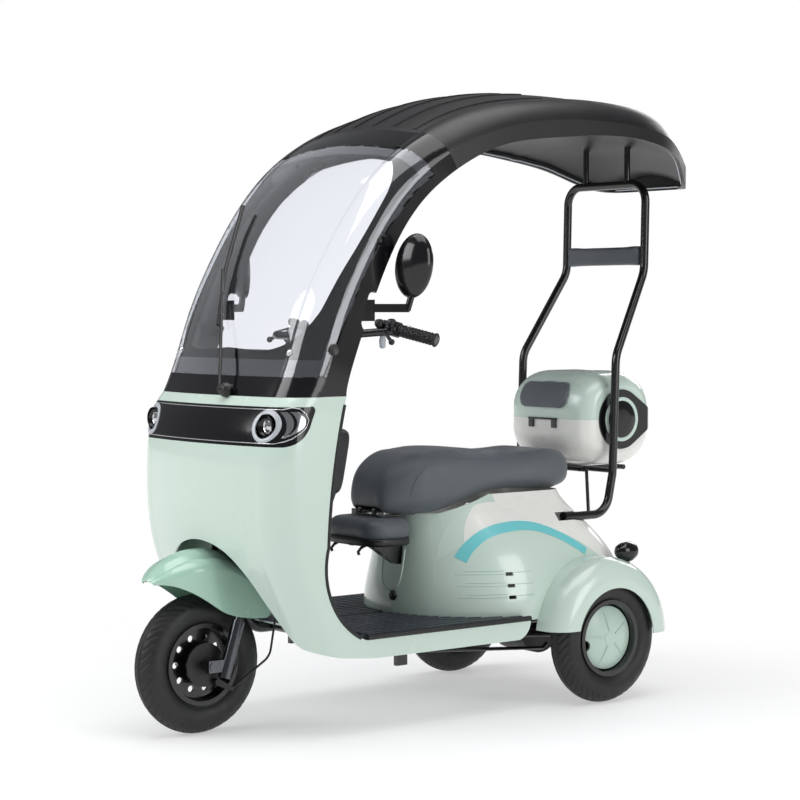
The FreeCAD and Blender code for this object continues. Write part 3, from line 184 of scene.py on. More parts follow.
def make_finishes():
    """Every finish on the vehicle, by the record's slot name."""
    f = {}
    # Moulded ABS with a sprayed colour and clear coat: wet highlights over a faint orange peel.
    f["mint_plastic"] = surface("mint_sprayed_abs", "#CBDDD3", "#C6D9CE", 240, 9, 0.012, 0.26, 0.03,
                                IOR=1.5, Coat_Weight=0.6, Coat_Roughness=0.05)
    f["deep_mint_plastic"] = surface("deep_mint_sprayed_abs", "#ACD0BE", "#A3C9B6", 200, 9, 0.012, 0.25, 0.03,
                                     IOR=1.5, Coat_Weight=0.7, Coat_Roughness=0.05)
    f["white_plastic"] = surface("white_sprayed_abs", "#EFEFEA", "#E8E8E2", 240, 9, 0.012, 0.28, 0.03,
                                 IOR=1.5, Coat_Weight=0.5, Coat_Roughness=0.06)
    f["cap_paint"] = surface("mint_hub_cap_abs", "#C0D5CA", "#B8CFC3", 60, 7, 0.015, 0.36, 0.05, IOR=1.5,
                             Coat_Weight=0.3, Coat_Roughness=0.12)
    # Black acrylic-capped ABS, thermoformed: deep gloss that mirrors the room with a slow ripple.
    f["black_gloss_plastic"] = surface("black_thermoformed_acrylic", "#0C0C0E", "#101013", 160, 26, 0.03, 0.14,
                                       0.03, IOR=1.46, Coat_Weight=0.2, Coat_Roughness=0.05)
    # Roof skin of the same ABS sheet with a hair-cell grain: its sheen is broken, so the room doesn't show.
    f["roof_plastic"] = surface("black_hair_cell_roof_abs", "#0D0D0F", "#111113", 120, 3.0, 0.08, 0.36, 0.04,
                                "CELLS", IOR=1.49)
    # Grained polypropylene, moulded against an etched tool: a dull leather grain, drawn at 2.2 mm to show.
    f["black_plastic"] = surface("black_grained_polypropylene", "#26272A", "#1D1E21", 60, 2.2, 0.12, 0.5, 0.07,
                                 "CELLS", IOR=1.49)
    f["control_plastic"] = surface("black_nylon_controls", "#1B1B1D", "#131315", 25, 1.6, 0.06, 0.42, 0.08,
                                   IOR=1.53)
    # Powder coat on steel tube: half gloss with fine orange peel, 1.5 mm from crest to crest.
    f["frame_paint"] = surface("black_powder_coat", "#0E0E10", "#0A0A0C", 70, 1.5, 0.03, 0.24, 0.06, IOR=1.5,
                               Coat_Weight=0.35, Coat_Roughness=0.12)
    f["axle_steel"] = surface("black_chassis_enamel", "#1A1A1B", "#111112", 40, 2.5, 0.05, 0.42, 0.1, IOR=1.5)
    f["wheel_paint"] = surface("black_wheel_enamel", "#161618", "#0F0F11", 50, 3, 0.03, 0.22, 0.06, IOR=1.5,
                               Coat_Weight=0.4, Coat_Roughness=0.1)
    f["wiper_paint"] = surface("black_wiper_enamel", "#141416", "#1B1B1D", 20, 1.5, 0.03, 0.32, 0.06, IOR=1.5)
    # Enamelled spring wire: bright orange with a thin gloss skin.
    f["spring_paint"] = surface("orange_spring_enamel", "#E8601F", "#D85215", 30, 2, 0.03, 0.3, 0.06, IOR=1.5,
                                Coat_Weight=0.4, Coat_Roughness=0.1)
    # Ground and chromed fork tube: metal with faint turning marks.
    f["fork_steel"] = surface("ground_fork_steel", "#6A6C70", "#55575B", 18, 0.8, 0.01, 0.2, 0.06, Metallic=1.0)
    f["bright_trim"] = surface("vacuum_metallised_abs", "#D9DBDD", "#C4C7CA", 14, 3, 0.01, 0.14, 0.05,
                               Metallic=1.0)
    f["mirror_glass"] = surface("silvered_mirror_glass", "#E4E7EA", "#DDE0E4", 200, 60, 0.001, 0.03, 0.01,
                                Metallic=1.0)
    # Moulded rubber filled with carbon black: nearly matt, a little greyer in patches.
    f["tyre"] = surface("black_tyre_rubber", "#111112", "#18181A", 35, 1.2, 0.05, 0.52, 0.08, IOR=1.52)
    f["grip_rubber"] = surface("soft_grip_rubber", "#161617", "#1E1E1F", 12, 1.8, 0.15, 0.55, 0.08, "CELLS",
                               IOR=1.52)
    f["mat_rubber"] = surface("ribbed_mat_rubber", "#40454E", "#363B43", 90, 1.4, 0.05, 0.40, 0.06, IOR=1.52)
    f["cable_jacket"] = surface("black_pvc_jacket", "#141415", "#1A1A1B", 15, 1.2, 0.02, 0.4, 0.06, IOR=1.53)
    # Polyurethane-coated seat cloth: a pebbled leather grain, drawn at 2.6 mm to show in the picture.
    f["seat_cover"] = surface("grey_pebbled_seat_vinyl", "#5B6167", "#51575D", 120, 2.6, 0.10, 0.44, 0.05, "CELLS",
                              IOR=1.5, Sheen_Weight=0.12)
    f["battery_case"] = surface("black_battery_case_pp", "#1C1D1F", "#242527", 50, 2, 0.05, 0.5, 0.06, IOR=1.49)
    f["red_lens"] = surface("red_acrylic_lens", "#8E0D12", "#7A0A10", 40, 6, 0.02, 0.14, 0.04, IOR=1.49,
                            Coat_Weight=0.6, Coat_Roughness=0.04)
    # Screen-printed vinyl film: flat turquoise, a little glossier than the paint under it.
    f["stripe_film"] = surface("turquoise_vinyl_film", "#76CFD3", "#70CACF", 80, 6, 0.006, 0.3, 0.03, IOR=1.5,
                               Coat_Weight=0.3, Coat_Roughness=0.08)
    f["lamp_ring"] = surface("frosted_lamp_ring", "#B9BEC4", "#AEB3BA", 8, 2, 0.02, 0.34, 0.06, IOR=1.49,
                             Coat_Weight=0.4)
    # Clear hard-coated acrylic sheet: nothing but reflections and a breath of blue.
    f["windshield"] = surface("clear_acrylic_sheet", "#F3F5FB", "#EEF1F9", 300, 90, 0.002, 0.02, 0.01, IOR=1.49,
                              Transmission_Weight=1.0)
    # Painted edge of the sheet: black ceramic ink baked on its inner face.
    # It is bonded to the sheet, with no air between them, so it has no shine of its own.
    f["glass_border"] = surface("black_baked_ink", "#060608", "#08080A", 80, 12, 0.004, 0.5, 0.03, IOR=1.5,
                                Specular_IOR_Level=0.0)
    # Painted shade: a darker mint for the beads that stand in for the shade inside the debossed lines.
    f["mint_shadow"] = surface("mint_in_shade", "#A5C0B2", "#9DB9AA", 60, 7, 0.01, 0.4, 0.04, IOR=1.5)
    f["lamp_lens"] = surface("smoked_lamp_lens", "#5C6066", "#50545A", 30, 8, 0.02, 0.06, 0.02, IOR=1.49,
                             Transmission_Weight=0.4, Coat_Weight=0.6)
    return f


def dress_nodes(finishes):
    for row in frame["record"]["subparts"]:
        shell = nodes[row["node"]]
        finish = finishes[row["material_slot"]]
        if not shell.material_slots:
            shell.data.materials.append(finish)
        for slot in shell.material_slots:
            slot.material = finish
    for slot in nodes["roof_panel"].material_slots:
        slot.material = finishes["roof_plastic"]


# Ways to lay a piece on a shell

SIDE_START = 1.5
FRONT_START = -1.8

def shell_of(*names):
    """A search tree over CAD nodes, to lay pieces on them."""
    corners = []
    faces = []
    for name in names:
        mesh = nodes[name].data
        start = len(corners)
        corners += [tuple(vertex.co) for vertex in mesh.vertices]
        faces += [tuple(start + i for i in face.vertices) for face in mesh.polygons]
    return BVHTree.FromPolygons(corners, faces)


def touch(shell, start, direction):
    """Where a line from start first meets the shell, and the outward normal there."""
    direction = Vector(direction).normalized()
    place, normal, _, _ = shell.ray_cast(Vector(start), direction)
    if place is None:
        return None
    return place, (normal if normal.dot(direction) < 0 else -normal)


def from_side(shell, side, y, z):
    return touch(shell, (side * SIDE_START, y, z), (-side, 0, 0))


def from_front(shell, x, z):
    return touch(shell, (x, FRONT_START, z), (0, 1, 0))


def new_piece(name, points, faces, finish, body, smooth=True):
    mesh = bpy.data.meshes.new(name)
    mesh.from_pydata([tuple(point) for point in points], [], faces)
    mesh.materials.append(finish)
    for polygon in mesh.polygons:
        polygon.use_smooth = smooth
    mesh.validate()
    piece = bpy.data.objects.new(name, mesh)
    bpy.context.scene.collection.objects.link(piece)
    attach(piece, body)
    return piece


def bead(name, points, radius, finish, body, closed=False):
    """A round bead along points."""
    curve = bpy.data.curves.new(name, "CURVE")
    curve.dimensions = "3D"
    curve.bevel_depth = radius
    curve.bevel_resolution = 3
    curve.use_fill_caps = True
    spline = curve.splines.new("POLY")
    spline.points.add(len(points) - 1)
    for point, place in zip(spline.points, points):
        point.co = (*place, 1)
    spline.use_cyclic_u = closed
    spline.use_smooth = True
    curve.materials.append(finish)
    piece = bpy.data.objects.new(name, curve)
    bpy.context.scene.collection.objects.link(piece)
    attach(piece, body)
    return piece


def skin(name, rows, lift, thick, finish, body, closed=False):
    """A thin sheet through rows of (place, normal), lifted off the shell and given an edge."""
    across = len(rows[0])
    top = [place + normal * (lift + thick) for row in rows for place, normal in row]
    low = [place + normal * (lift - thick) for row in rows for place, normal in row]
    count = len(top)
    faces = []
    rings = len(rows) if closed else len(rows) - 1
    for i in range(rings):
        a = i * across
        b = ((i + 1) % len(rows)) * across
        for j in range(across - 1):
            faces.append((a + j, b + j, b + j + 1, a + j + 1))
            faces.append((count + a + j, count + a + j + 1, count + b + j + 1, count + b + j))
        for j in (0, across - 1):
            faces.append((a + j, count + a + j, count + b + j, b + j))
    if not closed:
        for a in (0, (len(rows) - 1) * across):
            for j in range(across - 1):
                faces.append((a + j, a + j + 1, count + a + j + 1, count + a + j))
    piece = new_piece(name, top + low, faces, finish, body)
    shading = piece.modifiers.new("edge", "WEIGHTED_NORMAL")
    shading.keep_sharp = False
    return piece


def rounded_box(turn, half_x, half_y, power):
    """A point at this turn on a rounded rectangle: the lower the power, the squarer its corners."""
    c = math.cos(turn)
    q = math.sin(turn)
    return half_x * math.copysign(abs(c) ** power, c), half_y * math.copysign(abs(q) ** power, q)


def arc_points(start, middle, end, count):
    """Points along the circular arc through three flat points."""
    ax, ay = start
    bx, by = middle
    cx, cy = end
    d = 2 * (ax * (by - cy) + bx * (cy - ay) + cx * (ay - by))
    aa = ax * ax + ay * ay
    bb = bx * bx + by * by
    cc = cx * cx + cy * cy
    ux = (aa * (by - cy) + bb * (cy - ay) + cc * (ay - by)) / d
    uy = (aa * (cx - bx) + bb * (ax - cx) + cc * (bx - ax)) / d
    first = math.atan2(ay - uy, ax - ux)
    halfway = math.atan2(by - uy, bx - ux)
    last = math.atan2(cy - uy, cx - ux)
    turn = 2 * math.pi
    sweep = (last - first) % turn
    if (halfway - first) % turn > sweep:
        sweep -= turn
    radius = math.hypot(ax - ux, ay - uy)
    turns = [first + sweep * i / count for i in range(count + 1)]
    return [(ux + radius * math.cos(t), uy + radius * math.sin(t)) for t in turns]


# Seats and pads

CLOTH_PRESSURE = 4
CLOTH_FRAMES = 20
# The saddle's width by place: (y in millimetres, share of the CAD block's width).
SADDLE_WIDTHS = ((-200, 0.70), (-150, 0.80), (-100, 0.91), (-50, 0.975), (0, 1.0), (500, 1.0))
SADDLE_NOSE_Y = -30
SADDLE_SEAM = ((-128, 604), (-112, 650), (-70, 688), (0, 700), (120, 694), (260, 690), (400, 690), (452, 682))

def settle(piece):
    """Makes a piece's modifiers final."""
    graph = bpy.context.evaluated_depsgraph_get()
    mesh = bpy.data.meshes.new_from_object(piece.evaluated_get(graph))
    piece.modifiers.clear()
    piece.data = mesh


def cushion(name, node, body, finish, voxel=6, inset=3.0, smoothing=4, shape=None):
    """A stuffed cover: the CAD form drawn in a little, then blown up as cloth within its own space."""
    piece = bpy.data.objects.new(name, nodes[node].data.copy())
    bpy.context.scene.collection.objects.link(piece)
    even = piece.modifiers.new("even", "REMESH")
    even.mode = "VOXEL"
    even.voxel_size = voxel * MM
    even.use_smooth_shade = True
    ease = piece.modifiers.new("ease", "SMOOTH")
    ease.factor = 0.5
    ease.iterations = smoothing
    settle(piece)
    if shape:
        shape(piece)
    for vertex in piece.data.vertices:
        vertex.co -= vertex.normal * inset * MM
    start = [vertex.co.copy() for vertex in piece.data.vertices]
    blow(piece)
    for vertex, first in zip(piece.data.vertices, start):
        move = vertex.co - first
        if move.length > inset * MM:
            vertex.co = first + move.normalized() * inset * MM
    round_off = piece.modifiers.new("round_off", "SUBSURF")
    round_off.levels = 1
    round_off.render_levels = 1
    piece.data.materials.clear()
    piece.data.materials.append(finish)
    for polygon in piece.data.polygons:
        polygon.use_smooth = True
    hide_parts(node)
    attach(piece, body)
    return piece


def slim_saddle_front(piece):
    """The saddle's nose leans back in an arc and is rounder than its CAD block, and the top runs level."""
    for vertex in piece.data.vertices:
        y = vertex.co.y / MM
        z = vertex.co.z / MM
        if y < SADDLE_NOSE_Y:
            high = max(0.0, min(1.0, (z - 575) / 160))
            back = 0.62 * (1 - math.sqrt(max(0.0, 1 - high * high)))
            vertex.co.y = (SADDLE_NOSE_Y + (1 - back) * (y - SADDLE_NOSE_Y)) * MM
        for (low, first), (above, second) in zip(SADDLE_WIDTHS, SADDLE_WIDTHS[1:]):
            if y <= above:
                share = max(0.0, (y - low) / (above - low))
                vertex.co.x *= first + (second - first) * share
                break
        if z > 640:
            vertex.co.z += 0.006 * math.exp(-((y - 185) / 95) ** 2) * min(1.0, (z - 640) / 70)


def blow(piece):
    """Cloth under pressure, without gravity."""
    cloth = piece.modifiers.new("cover", "CLOTH")
    cloth.settings.use_pressure = True
    cloth.settings.uniform_pressure_force = CLOTH_PRESSURE
    cloth.settings.effector_weights.gravity = 0
    cloth.settings.quality = 5
    cloth.point_cache.frame_start = 1
    cloth.point_cache.frame_end = CLOTH_FRAMES
    for number in range(1, CLOTH_FRAMES + 1):
        bpy.context.scene.frame_set(number)
    settle(piece)
    bpy.context.scene.frame_set(1)


# Tyres

# Half the outline as (across, radius) in millimetres.
BEAD_EDGE = (29.7, 101.6)
BEAD_TOP = (29.7, 111.6)
WALL_MIDDLE = (41, 151.8)
SHOULDER = (31, 170)
CROWN_SIDE = (16.5, 182.1)
TYRE_RADIUS = 186
TYRE_STEPS = 432
TREAD_PITCHES = 44
TREAD_DEPTH = 3.2
RIB_PLACE = 9.5
RIB_HALF = 2.2
CUT_START = 12
CUT_LOW = 160
# Each tyre's centre in metres, and the body that it rides on.
TYRE_PLACES = {"front_tyre": ((0, -0.757, 0.186), "front_wheel"),
               "rear_tyre_left": ((0.334, 0.403, 0.186), "rear_wheel_left"),
               "rear_tyre_right": ((-0.334, 0.403, 0.186), "rear_wheel_right")}


def tyre_section():
    """Half the tyre's outline as (across, radius) in millimetres, bead to crown."""
    wall = arc_points(BEAD_TOP, WALL_MIDDLE, SHOULDER, 12)
    crown = arc_points(SHOULDER, CROWN_SIDE, (0, TYRE_RADIUS), 17)
    return [BEAD_EDGE] + wall + crown[1:]


def tread_depth(across, radius, turn):
    """How deep the tread is cut here: two grooves round the tyre and curved cuts over each shoulder."""
    side = abs(across)
    ring = max(0.0, 1 - abs(side - RIB_PLACE) / RIB_HALF)
    cut = 0.0
    if side > CUT_START and radius > CUT_LOW:
        pitch = 2 * math.pi / TREAD_PITCHES
        swing = 0.16 * ((side - CUT_START) / 22) ** 1.5
        phase = (turn + (pitch / 2 if across < 0 else 0) + swing) % pitch
        away = min(phase, pitch - phase) * radius
        cut = max(0.0, min(1.0, (4.0 - away) / 1.6))
        cut *= min(1.0, (side - CUT_START) / 3) * min(1.0, (radius - CUT_LOW) / 5)
    return TREAD_DEPTH * max(min(1.0, ring * 1.6), cut)


def tyre_mesh(finish):
    half = tyre_section()
    outline = half + [(-x, r) for x, r in reversed(half[:-1])]
    points = []
    for i in range(TYRE_STEPS):
        turn = 2 * math.pi * i / TYRE_STEPS
        for x, r in outline:
            deep = tread_depth(x, r, turn)
            wide = x * (1 - deep / TYRE_RADIUS)
            far = r - deep
            points.append((wide * MM, far * math.cos(turn) * MM, far * math.sin(turn) * MM))
    count = len(outline)
    faces = []
    for i in range(TYRE_STEPS):
        a = i * count
        b = ((i + 1) % TYRE_STEPS) * count
        for j in range(count):
            k = (j + 1) % count
            faces.append((a + j, a + k, b + k, b + j))
    mesh = bpy.data.meshes.new("treaded_tyre")
    mesh.from_pydata(points, [], faces)
    mesh.materials.append(finish)
    for polygon in mesh.polygons:
        polygon.use_smooth = True
    return mesh


def fit_tyres(finishes):
    mesh = tyre_mesh(finishes["tyre"])
    for node, (centre, body) in TYRE_PLACES.items():
        piece = bpy.data.objects.new(node + "_tread", mesh.copy())
        piece.location = centre
        bpy.context.scene.collection.objects.link(piece)
        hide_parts(node)
        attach(piece, body)


# Rear body trim

STRIPE_LINE = ((-12, 424), (2, 444), (20, 463), (55, 487), (100, 503), (160, 510), (215, 508), (265, 497),
               (317, 475), (365, 447), (405, 419))
VENT_LEVELS = (384, 352, 320)
# The lines beside each vent, in millimetres: first y, last y and the rise over the vent's level.
VENT_LINES = ((-30, 88, 0), (-10, 88, 9), (115, 170, 4))
BAND_HALF = (14, 11)
# Side-view circle, in metres, that parts the cover's white paint from its mint corner.
PAINT_CENTRE = (0, 0.170, 0.440)
PAINT_RADIUS = 0.165
PAINT_BLEND = 0.0004
# Boxes cut from the left mudguard's front, in metres: low corner and high corner.
MUDGUARD_CUTS = (((0.200, 0.08, 0.0), (0.46, 0.33, 0.222)), ((0.200, 0.08, 0.1), (0.304, 0.33, 0.256)))


def smooth_line(points, count):
    """A smooth line through flat points, count steps between each pair."""
    ends = [points[0]] + list(points) + [points[-1]]
    line = []
    for a, b, c, d in zip(ends, ends[1:], ends[2:], ends[3:]):
        for k in range(count):
            t = k / count
            line.append(tuple(0.5 * (2 * q + (r - p) * t + (2 * p - 5 * q + 4 * r - e) * t * t
                                     + (3 * q - p - 3 * r + e) * t ** 3) for p, q, r, e in zip(a, b, c, d)))
    return line + [tuple(points[-1])]


def lay_stripes(finishes):
    """The turquoise band over the rear cover: it tapers from 14 to 11 mm each side of its line."""
    shell = shell_of("rear_cover", "seat_body")
    line = smooth_line(STRIPE_LINE, 8)
    for side, word in SIDES:
        rows = []
        for i, (y, z) in enumerate(line):
            share = i / (len(line) - 1)
            half = BAND_HALF[0] - (BAND_HALF[0] - BAND_HALF[1]) * share
            ahead = line[min(i + 1, len(line) - 1)]
            behind = line[max(i - 1, 0)]
            along = Vector((ahead[0] - behind[0], ahead[1] - behind[1])).normalized()
            row = []
            for k in range(7):
                off = half * (1 - k / 3)
                row.append(from_side(shell, side, (y - along.y * off) * MM, (z + along.x * off) * MM))
            if all(row):
                rows.append(row)
        if side < 0:
            rows.reverse()
        skin("side_stripe_" + word, rows, 0.0006, 0.0003, finishes["stripe_film"], "vehicle")


def lay_line(shell, side, points, lift=0.0):
    """Side-view points laid on a shell."""
    met = [from_side(shell, side, y * MM, z * MM) for y, z in points]
    return [place + normal * lift for place, normal in filter(None, met)]


def cut_vent_grooves(finishes):
    """Fine debossed lines ahead of and behind the vent slots, laid as thin beads in a darker mint: painted shade
    in each line.
    """
    shell = shell_of("seat_body")
    for side, word in SIDES:
        for i, level in enumerate(VENT_LEVELS):
            for k, (first, last, rise) in enumerate(VENT_LINES):
                steps = 16
                points = [(first + (last - first) * n / steps, level + rise) for n in range(steps + 1)]
                placed = lay_line(shell, side, points, -0.0003)
                if len(placed) > 2:
                    # Painted shade: each debossed line is a thin bead in a darker mint laid on the surface.
                    bead("vent_line_%s_%d_%d" % (word, i + 1, k + 1), placed, 0.0010, finishes["mint_shadow"],
                         "vehicle")


def split_cover_paint(finishes):
    """The white cover's front corner, outside a circle in side view, is sprayed mint like the body."""
    paint = finishes["white_plastic"].copy()
    paint.name = "white_and_mint_sprayed_abs"
    tree = paint.node_tree
    shader = tree.nodes["Principled BSDF"]
    white = shader.inputs["Base Color"].links[0].from_socket
    place = add(tree, "ShaderNodeTexCoord")
    parts = add(tree, "ShaderNodeSeparateXYZ", None, {0: (place, "Object")})
    flat = add(tree, "ShaderNodeCombineXYZ", None, {"Y": (parts, "Y"), "Z": (parts, "Z")})
    away = add(tree, "ShaderNodeVectorMath", {"operation": "DISTANCE", 1: PAINT_CENTRE}, {0: (flat, 0)})
    outside = add(tree, "ShaderNodeMapRange", {"From Min": PAINT_RADIUS - PAINT_BLEND,
                                               "From Max": PAINT_RADIUS + PAINT_BLEND}, {0: (away, "Value")})
    ahead = add(tree, "ShaderNodeMath", {"operation": "LESS_THAN", 1: PAINT_CENTRE[1]}, {0: (parts, "Y")})
    mask = add(tree, "ShaderNodeMath", {"operation": "MULTIPLY"}, {0: (outside, 0), 1: (ahead, 0)})
    mix = add(tree, "ShaderNodeMix", {"data_type": "RGBA", 7: linear("#CBDDD3")}, {0: (mask, 0)})
    tree.links.new(white, mix.inputs[6])
    tree.links.new(mix.outputs[2], shader.inputs["Base Color"])
    nodes["rear_cover"].material_slots[0].material = paint


def trim_mudguards(finishes):
    """Each rear mudguard ends above the sill in front, where the spring shows behind it."""
    for side, word in SIDES:
        node = "rear_mudguard_" + word
        piece = bpy.data.objects.new(node + "_trimmed", nodes[node].data.copy())
        bpy.context.scene.collection.objects.link(piece)
        cutters = []
        for low, high in MUDGUARD_CUTS:
            points = [(side * x, y, z) for x in (low[0], high[0]) for y in (low[1], high[1])
                      for z in (low[2], high[2])]
            faces = [(0, 1, 3, 2), (4, 6, 7, 5), (0, 4, 5, 1), (2, 3, 7, 6), (0, 2, 6, 4), (1, 5, 7, 3)]
            if side < 0:
                faces = [tuple(reversed(face)) for face in faces]
            mesh = bpy.data.meshes.new("cutter")
            mesh.from_pydata(points, [], faces)
            cutter = bpy.data.objects.new("cutter", mesh)
            bpy.context.scene.collection.objects.link(cutter)
            cutters.append(cutter)
            cut = piece.modifiers.new("cut", "BOOLEAN")
            cut.object = cutter
            cut.operation = "DIFFERENCE"
            cut.solver = "EXACT"
        settle(piece)
        for cutter in cutters:
            bpy.data.objects.remove(cutter)
        piece.data.materials.clear()
        piece.data.materials.append(finishes["mint_plastic"])
        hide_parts(node)
        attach(piece, "vehicle")


# Nose of the shield

LAMP_PLACES = ((0.268, "left"), (-0.268, "right"))
LAMP_LEVEL = 0.824
LAMP_RING_RADII = (42.5, 41, 37.5, 33, 31)
# The raised U on the seat body's nose, as (x, z) in millimetres.
NOSE_LINE = ((-40, 448), (-38, 400), (-34, 362), (-22, 342), (2, 334), (28, 338), (44, 352), (50, 390),
             (52, 448))
KNOB_PLACE = (26, -110, 316)
KNOB_PROFILE = ((0.05, -14), (9, -13.5), (13, -11), (14.5, -6), (14.5, 4))
KNOB_LOBES = 6
POCKET_CENTRE = (138, 716)
POCKET_HALF = (72, 88)
POCKET_LEAN = 0.2
POCKET_STEPS = 40


def turned(name, centre, profile, finish, body, axis="y", steps=48, smooth=True):
    """A turned part: profile is (radius, along) in millimetres, along the axis from centre."""
    points = []
    for i in range(steps):
        turn = 2 * math.pi * i / steps
        for radius, along in profile:
            a = radius * math.cos(turn) * MM
            b = radius * math.sin(turn) * MM
            c = along * MM
            offset = {"x": (c, a, b), "y": (a, c, b), "z": (a, b, c)}[axis]
            points.append(Vector(centre) + Vector(offset))
    count = len(profile)
    faces = []
    for i in range(steps):
        a = i * count
        b = ((i + 1) % steps) * count
        for j in range(count - 1):
            faces.append((a + j, a + j + 1, b + j + 1, b + j))
    return new_piece(name, points, faces, finish, body, smooth)


def fit_headlamps(finishes):
    """Each lamp: a frosted ring flush with the strip, a dark bowl and a bright projector cup in it."""
    shell = shell_of("headlamps", "light_bar")
    for x, word in LAMP_PLACES:
        rows = []
        for i in range(72):
            turn = 2 * math.pi * i / 72
            row = []
            for radius in LAMP_RING_RADII:
                met = from_front(shell, x + radius * MM * math.cos(turn),
                                 LAMP_LEVEL + radius * MM * math.sin(turn))
                lift = 0.0016 if 32 < radius < 42 else 0.0
                row.append((met[0] + met[1] * lift, met[1]))
            rows.append(row)
        ring = skin("lamp_ring_" + word, rows, 0.0, 0.0012, finishes["lamp_ring"], "vehicle",
                    closed=True)
        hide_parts("headlamps")
        face = from_front(shell, x, LAMP_LEVEL)[0]
        bowl = [(31, 1), (30, 4), (28, 9), (24, 14), (18, 17), (12, 18), (0.05, 18)]
        turned("lamp_bowl_" + word, face, bowl, finishes["black_gloss_plastic"], "vehicle")
        facets = [(22, 14), (17, 9), (15.5, 10), (11, 6.5), (9.5, 8), (0.05, 6)]
        turned("lamp_reflector_" + word, face, facets, finishes["bright_trim"], "vehicle", steps=9,
               smooth=False)


# The reflectors are laid from this far out, aslant, in millimetres.
STRIP_REACH = 1060
STRIP_END = ((303, -690, 867), (317, -671, 872), (327, -654, 869), (333, -639, 856), (334, -631, 840),
             (334, -640, 820), (334, -659, 806), (328, -680, 793), (319, -698, 786))


def outline_strip(finishes):
    """A bright line inside the light strip's edge, and the reflectors between each ring and its point."""
    shell = shell_of("light_bar")
    top = [from_front(shell, x * MM, 0.867) for x in range(290, -291, -20)]
    low = [from_front(shell, x * MM, 0.781) for x in range(-300, 301, 20)]
    left = [Vector(point) * MM for point in STRIP_END]
    right = [Vector((-point.x, point.y, point.z)) for point in reversed(left)]
    line = list(reversed(left)) + [place for place, _ in filter(None, top)] + list(reversed(right))
    line += [place for place, _ in filter(None, low)]
    bead("strip_bright_line", line, 0.0014, finishes["bright_trim"], "vehicle", closed=True)
    for side, word in SIDES:
        for band, (near, far) in enumerate(((0.04, 0.40), (0.56, 0.94))):
            rows = []
            for i in range(15):
                z = 795 + 66 * i / 14
                start = -314 + 48 * math.sqrt(max(0.0, 1 - ((z - 824) / 46) ** 2)) + 2
                end = -214 - 58 * (abs(z - 836) / 42) ** 2.4
                row = []
                for k in range(6):
                    u = start + (end - start) * (near + (far - near) * k / 5)
                    across = u / math.sqrt(2)
                    met = touch(shell, (side * (across + STRIP_REACH) * MM, (across - STRIP_REACH) * MM, z * MM),
                                (-side, 1, 0))
                    row.append(met)
                if all(row):
                    rows.append(row)
            if side < 0:
                rows.reverse()
            if len(rows) > 2:
                skin("strip_reflector_%s_%d" % (word, band + 1), rows, 0.0004, 0.0003, finishes["bright_trim"],
                     "vehicle")


CLEAR_EDGE = ((0, -653, 1023), (90, -652, 1018), (161, -648, 1017), (221, -637, 1030), (262, -622, 1050),
              (289, -606, 1077), (304, -588, 1104), (312, -568, 1135), (318, -521, 1211), (323, -480, 1270),
              (326, -446, 1319), (328, -405, 1380), (324, -363, 1441), (308, -338, 1490), (270, -322, 1528),
              (200, -322, 1548), (100, -324, 1556), (0, -325, 1558))


def paint_glass_border(finishes):
    """Black ink on the sheet's inner face, from the clear area's rounded outline to the sheet's own edge."""
    shell = shell_of("windshield_glass")
    for side, word in SIDES:
        rows = []
        inner = smooth_line(CLEAR_EDGE, 5)
        for i, (x, y, z) in enumerate(inner):
            share = i / (len(inner) - 1)
            outward = Vector((1, 0, -1)) if share < 0.32 else Vector((1, 0.9, 0.25))
            if x < 170 and z < 1100:
                outward = Vector((0, 0, -1))
            if z > 1500:
                outward = Vector((0.3, 0.6, 1))
            start = Vector((side * x, y, z)) * MM
            outward = Vector((side * outward.x, outward.y, outward.z)).normalized() * 0.22
            end = shell.find_nearest(start + outward)[0]
            row = []
            for k in range(9):
                place, normal, _, _ = shell.find_nearest(start.lerp(end, k / 8))
                probe = place + Vector((side * 0.02, -0.02, 0.01))
                if (probe - place).dot(normal) < 0:
                    normal = -normal
                row.append((place, normal))
            rows.append(row)
        if side > 0:
            rows.reverse()
        skin("glass_border_" + word, rows, -0.0052, 0.0003, finishes["glass_border"], "vehicle")


def fit_hood_buttons(finishes):
    """The wiper's hub cover, a bright button, an oval cup and a ringed screw on each side of the hood."""
    hub = [(0.05, -17), (10, -16), (16, -12), (19, -5), (19.5, 3)]
    turned("wiper_hub_cover", (0.074, -0.712, 0.912), hub, finishes["control_plastic"], "vehicle")
    for side, word in SIDES:
        button = [(0.05, -6.5), (5, -6), (8.5, -4), (9.5, -1), (9.5, 3)]
        turned("hood_button_" + word, (side * 0.257, -0.6375, 1.010), button, finishes["bright_trim"], "vehicle")
        cup = [(0.05, side * 0.6), (7, side * 0.8), (11, side * 1.6), (13.5, side * 3.0), (15.5, side * 1.4),
               (15.5, side * -2)]
        turned("hood_cup_" + word, (side * 0.3345, -0.551, 1.018), cup, finishes["control_plastic"], "vehicle",
               axis="x")
        for k, (y, z) in enumerate(((-0.404, 1.303), (-0.29, 1.47))):
            screw = [(0.05, side * 1.2), (3, side * 1.4), (5, side * 1.0), (6.5, side * 2.2), (8, side * -1)]
            turned("hood_screw_%s_%d" % (word, k + 1), (side * 0.3378, y, z), screw, finishes["control_plastic"],
                   "vehicle", axis="x")


